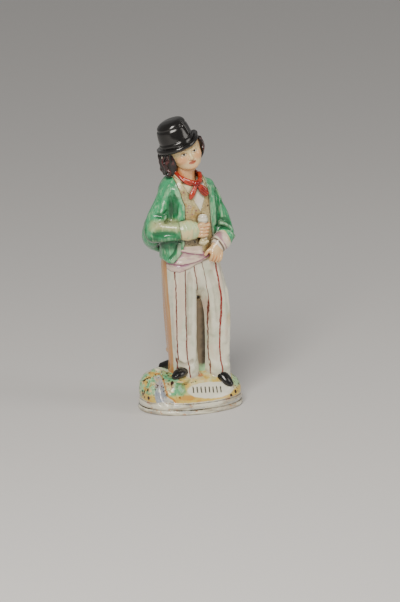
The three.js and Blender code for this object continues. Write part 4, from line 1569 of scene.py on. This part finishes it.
PAINTERS = {
    "base": paint_base,
    "web": paint_web,
    "trousers": paint_trousers,
    "shoe": paint_shoe,
    "shirt": paint_shirt,
    "waistcoat": paint_waistcoat,
    "sash": paint_sash,
    "jacket": paint_jacket,
    "cuff": paint_cuff,
    "skin": paint_skin,
    "goblet": paint_goblet,
    "scarf": paint_scarf,
    "hair": paint_hair,
    "hat": paint_hat,
}
REGIONS = list(PAINTERS)


def glaze():
    colour = None
    for name in REGIONS:
        tint = PAINTERS[name]()
        if colour is None:
            colour = tint
        else:
            colour = mixed(colour, tint, step(layer("in_" + name) + WOBBLE * 0.3, -0.1, 0.1))
    shader = nodes["Principled BSDF"]
    links.new(colour.socket, shader.inputs["Base Color"])
    shader.inputs["Roughness"].default_value = 0.22
    shader.inputs["IOR"].default_value = 1.5
    shader.inputs["Coat Weight"].default_value = 0.4
    shader.inputs["Coat Roughness"].default_value = 0.04
    bump = nodes.new("ShaderNodeBump")
    bump.inputs["Strength"].default_value = 0.35
    bump.inputs["Distance"].default_value = 0.12 * MM
    ripple = noise(2.6, 3, shift=61) + noise(0.9, 2, shift=67) * 0.35
    links.new(ripple.socket, bump.inputs["Height"])
    links.new(bump.outputs["Normal"], shader.inputs["Normal"])
    links.new(bump.outputs["Normal"], shader.inputs["Coat Normal"])


piece = build_figure()
glaze()
piece.data.materials.append(material)


# Stage

AZIMUTH = -22.0
ELEVATION = 14.5
ROLL = -0.55
MM_PER_PIXEL = 0.7455
BASE_PIXEL = (190.5, 404.5)
WIDTH, HEIGHT = 400, 602
RANGE = 3.2


def add_camera():
    azimuth, elevation = math.radians(AZIMUTH), math.radians(ELEVATION)
    back = Vector((math.sin(azimuth) * math.cos(elevation), -math.cos(azimuth) * math.cos(elevation), math.sin(elevation)))
    level = back.to_track_quat("Z", "Y")
    turn = level @ Euler((0, 0, math.radians(ROLL))).to_quaternion()
    right = turn @ Vector((1, 0, 0))
    up = turn @ Vector((0, 1, 0))
    dx = (WIDTH / 2 - BASE_PIXEL[0]) * MM_PER_PIXEL * MM
    dy = (BASE_PIXEL[1] - HEIGHT / 2) * MM_PER_PIXEL * MM
    middle = right * dx + up * dy
    data = bpy.data.cameras.new("camera")
    data.sensor_fit = "VERTICAL"
    data.sensor_height = 36
    data.lens = 36 * RANGE / (HEIGHT * MM_PER_PIXEL * MM)
    data.clip_end = 50
    camera = bpy.data.objects.new("camera", data)
    camera.location = middle + back * RANGE
    camera.rotation_mode = "QUATERNION"
    camera.rotation_quaternion = turn
    bpy.context.scene.collection.objects.link(camera)
    bpy.context.scene.camera = camera


def add_light(name, place, size, power):
    data = bpy.data.lights.new(name, "AREA")
    data.shape = "RECTANGLE"
    data.size, data.size_y = size
    data.energy = power
    data.color = (1.0, 0.95, 0.88)
    lamp = bpy.data.objects.new(name, data)
    lamp.location = place
    lamp.rotation_euler = (Vector((0, 0, 0.12)) - Vector(place)).to_track_quat("-Z", "Y").to_euler()
    bpy.context.scene.collection.objects.link(lamp)


def add_stage():
    floor_mesh = new_mesh("floor", np.array([(-8, -8, 0), (8, -8, 0), (8, 8, 0), (-8, 8, 0)]), np.array([[0, 1, 2, 3]]))
    floor = bpy.data.objects.new("floor", floor_mesh)
    bpy.context.scene.collection.objects.link(floor)
    paper = bpy.data.materials.new("paper")
    paper.use_nodes = True
    paper.node_tree.nodes["Principled BSDF"].inputs["Base Color"].default_value = (0.72, 0.71, 0.7, 1)
    paper.node_tree.nodes["Principled BSDF"].inputs["Roughness"].default_value = 0.7
    floor_mesh.materials.append(paper)
    world = bpy.data.worlds.new("studio")
    world.use_nodes = True
    world.node_tree.nodes["Background"].inputs["Color"].default_value = (0.9, 0.88, 0.85, 1)
    world.node_tree.nodes["Background"].inputs["Strength"].default_value = 0.32
    bpy.context.scene.world = world


add_camera()
add_stage()
add_light("key", (-0.6, -0.9, 1.0), (0.5, 0.7), 19)
add_light("fill", (0.9, -0.7, 0.6), (0.5, 0.8), 4)
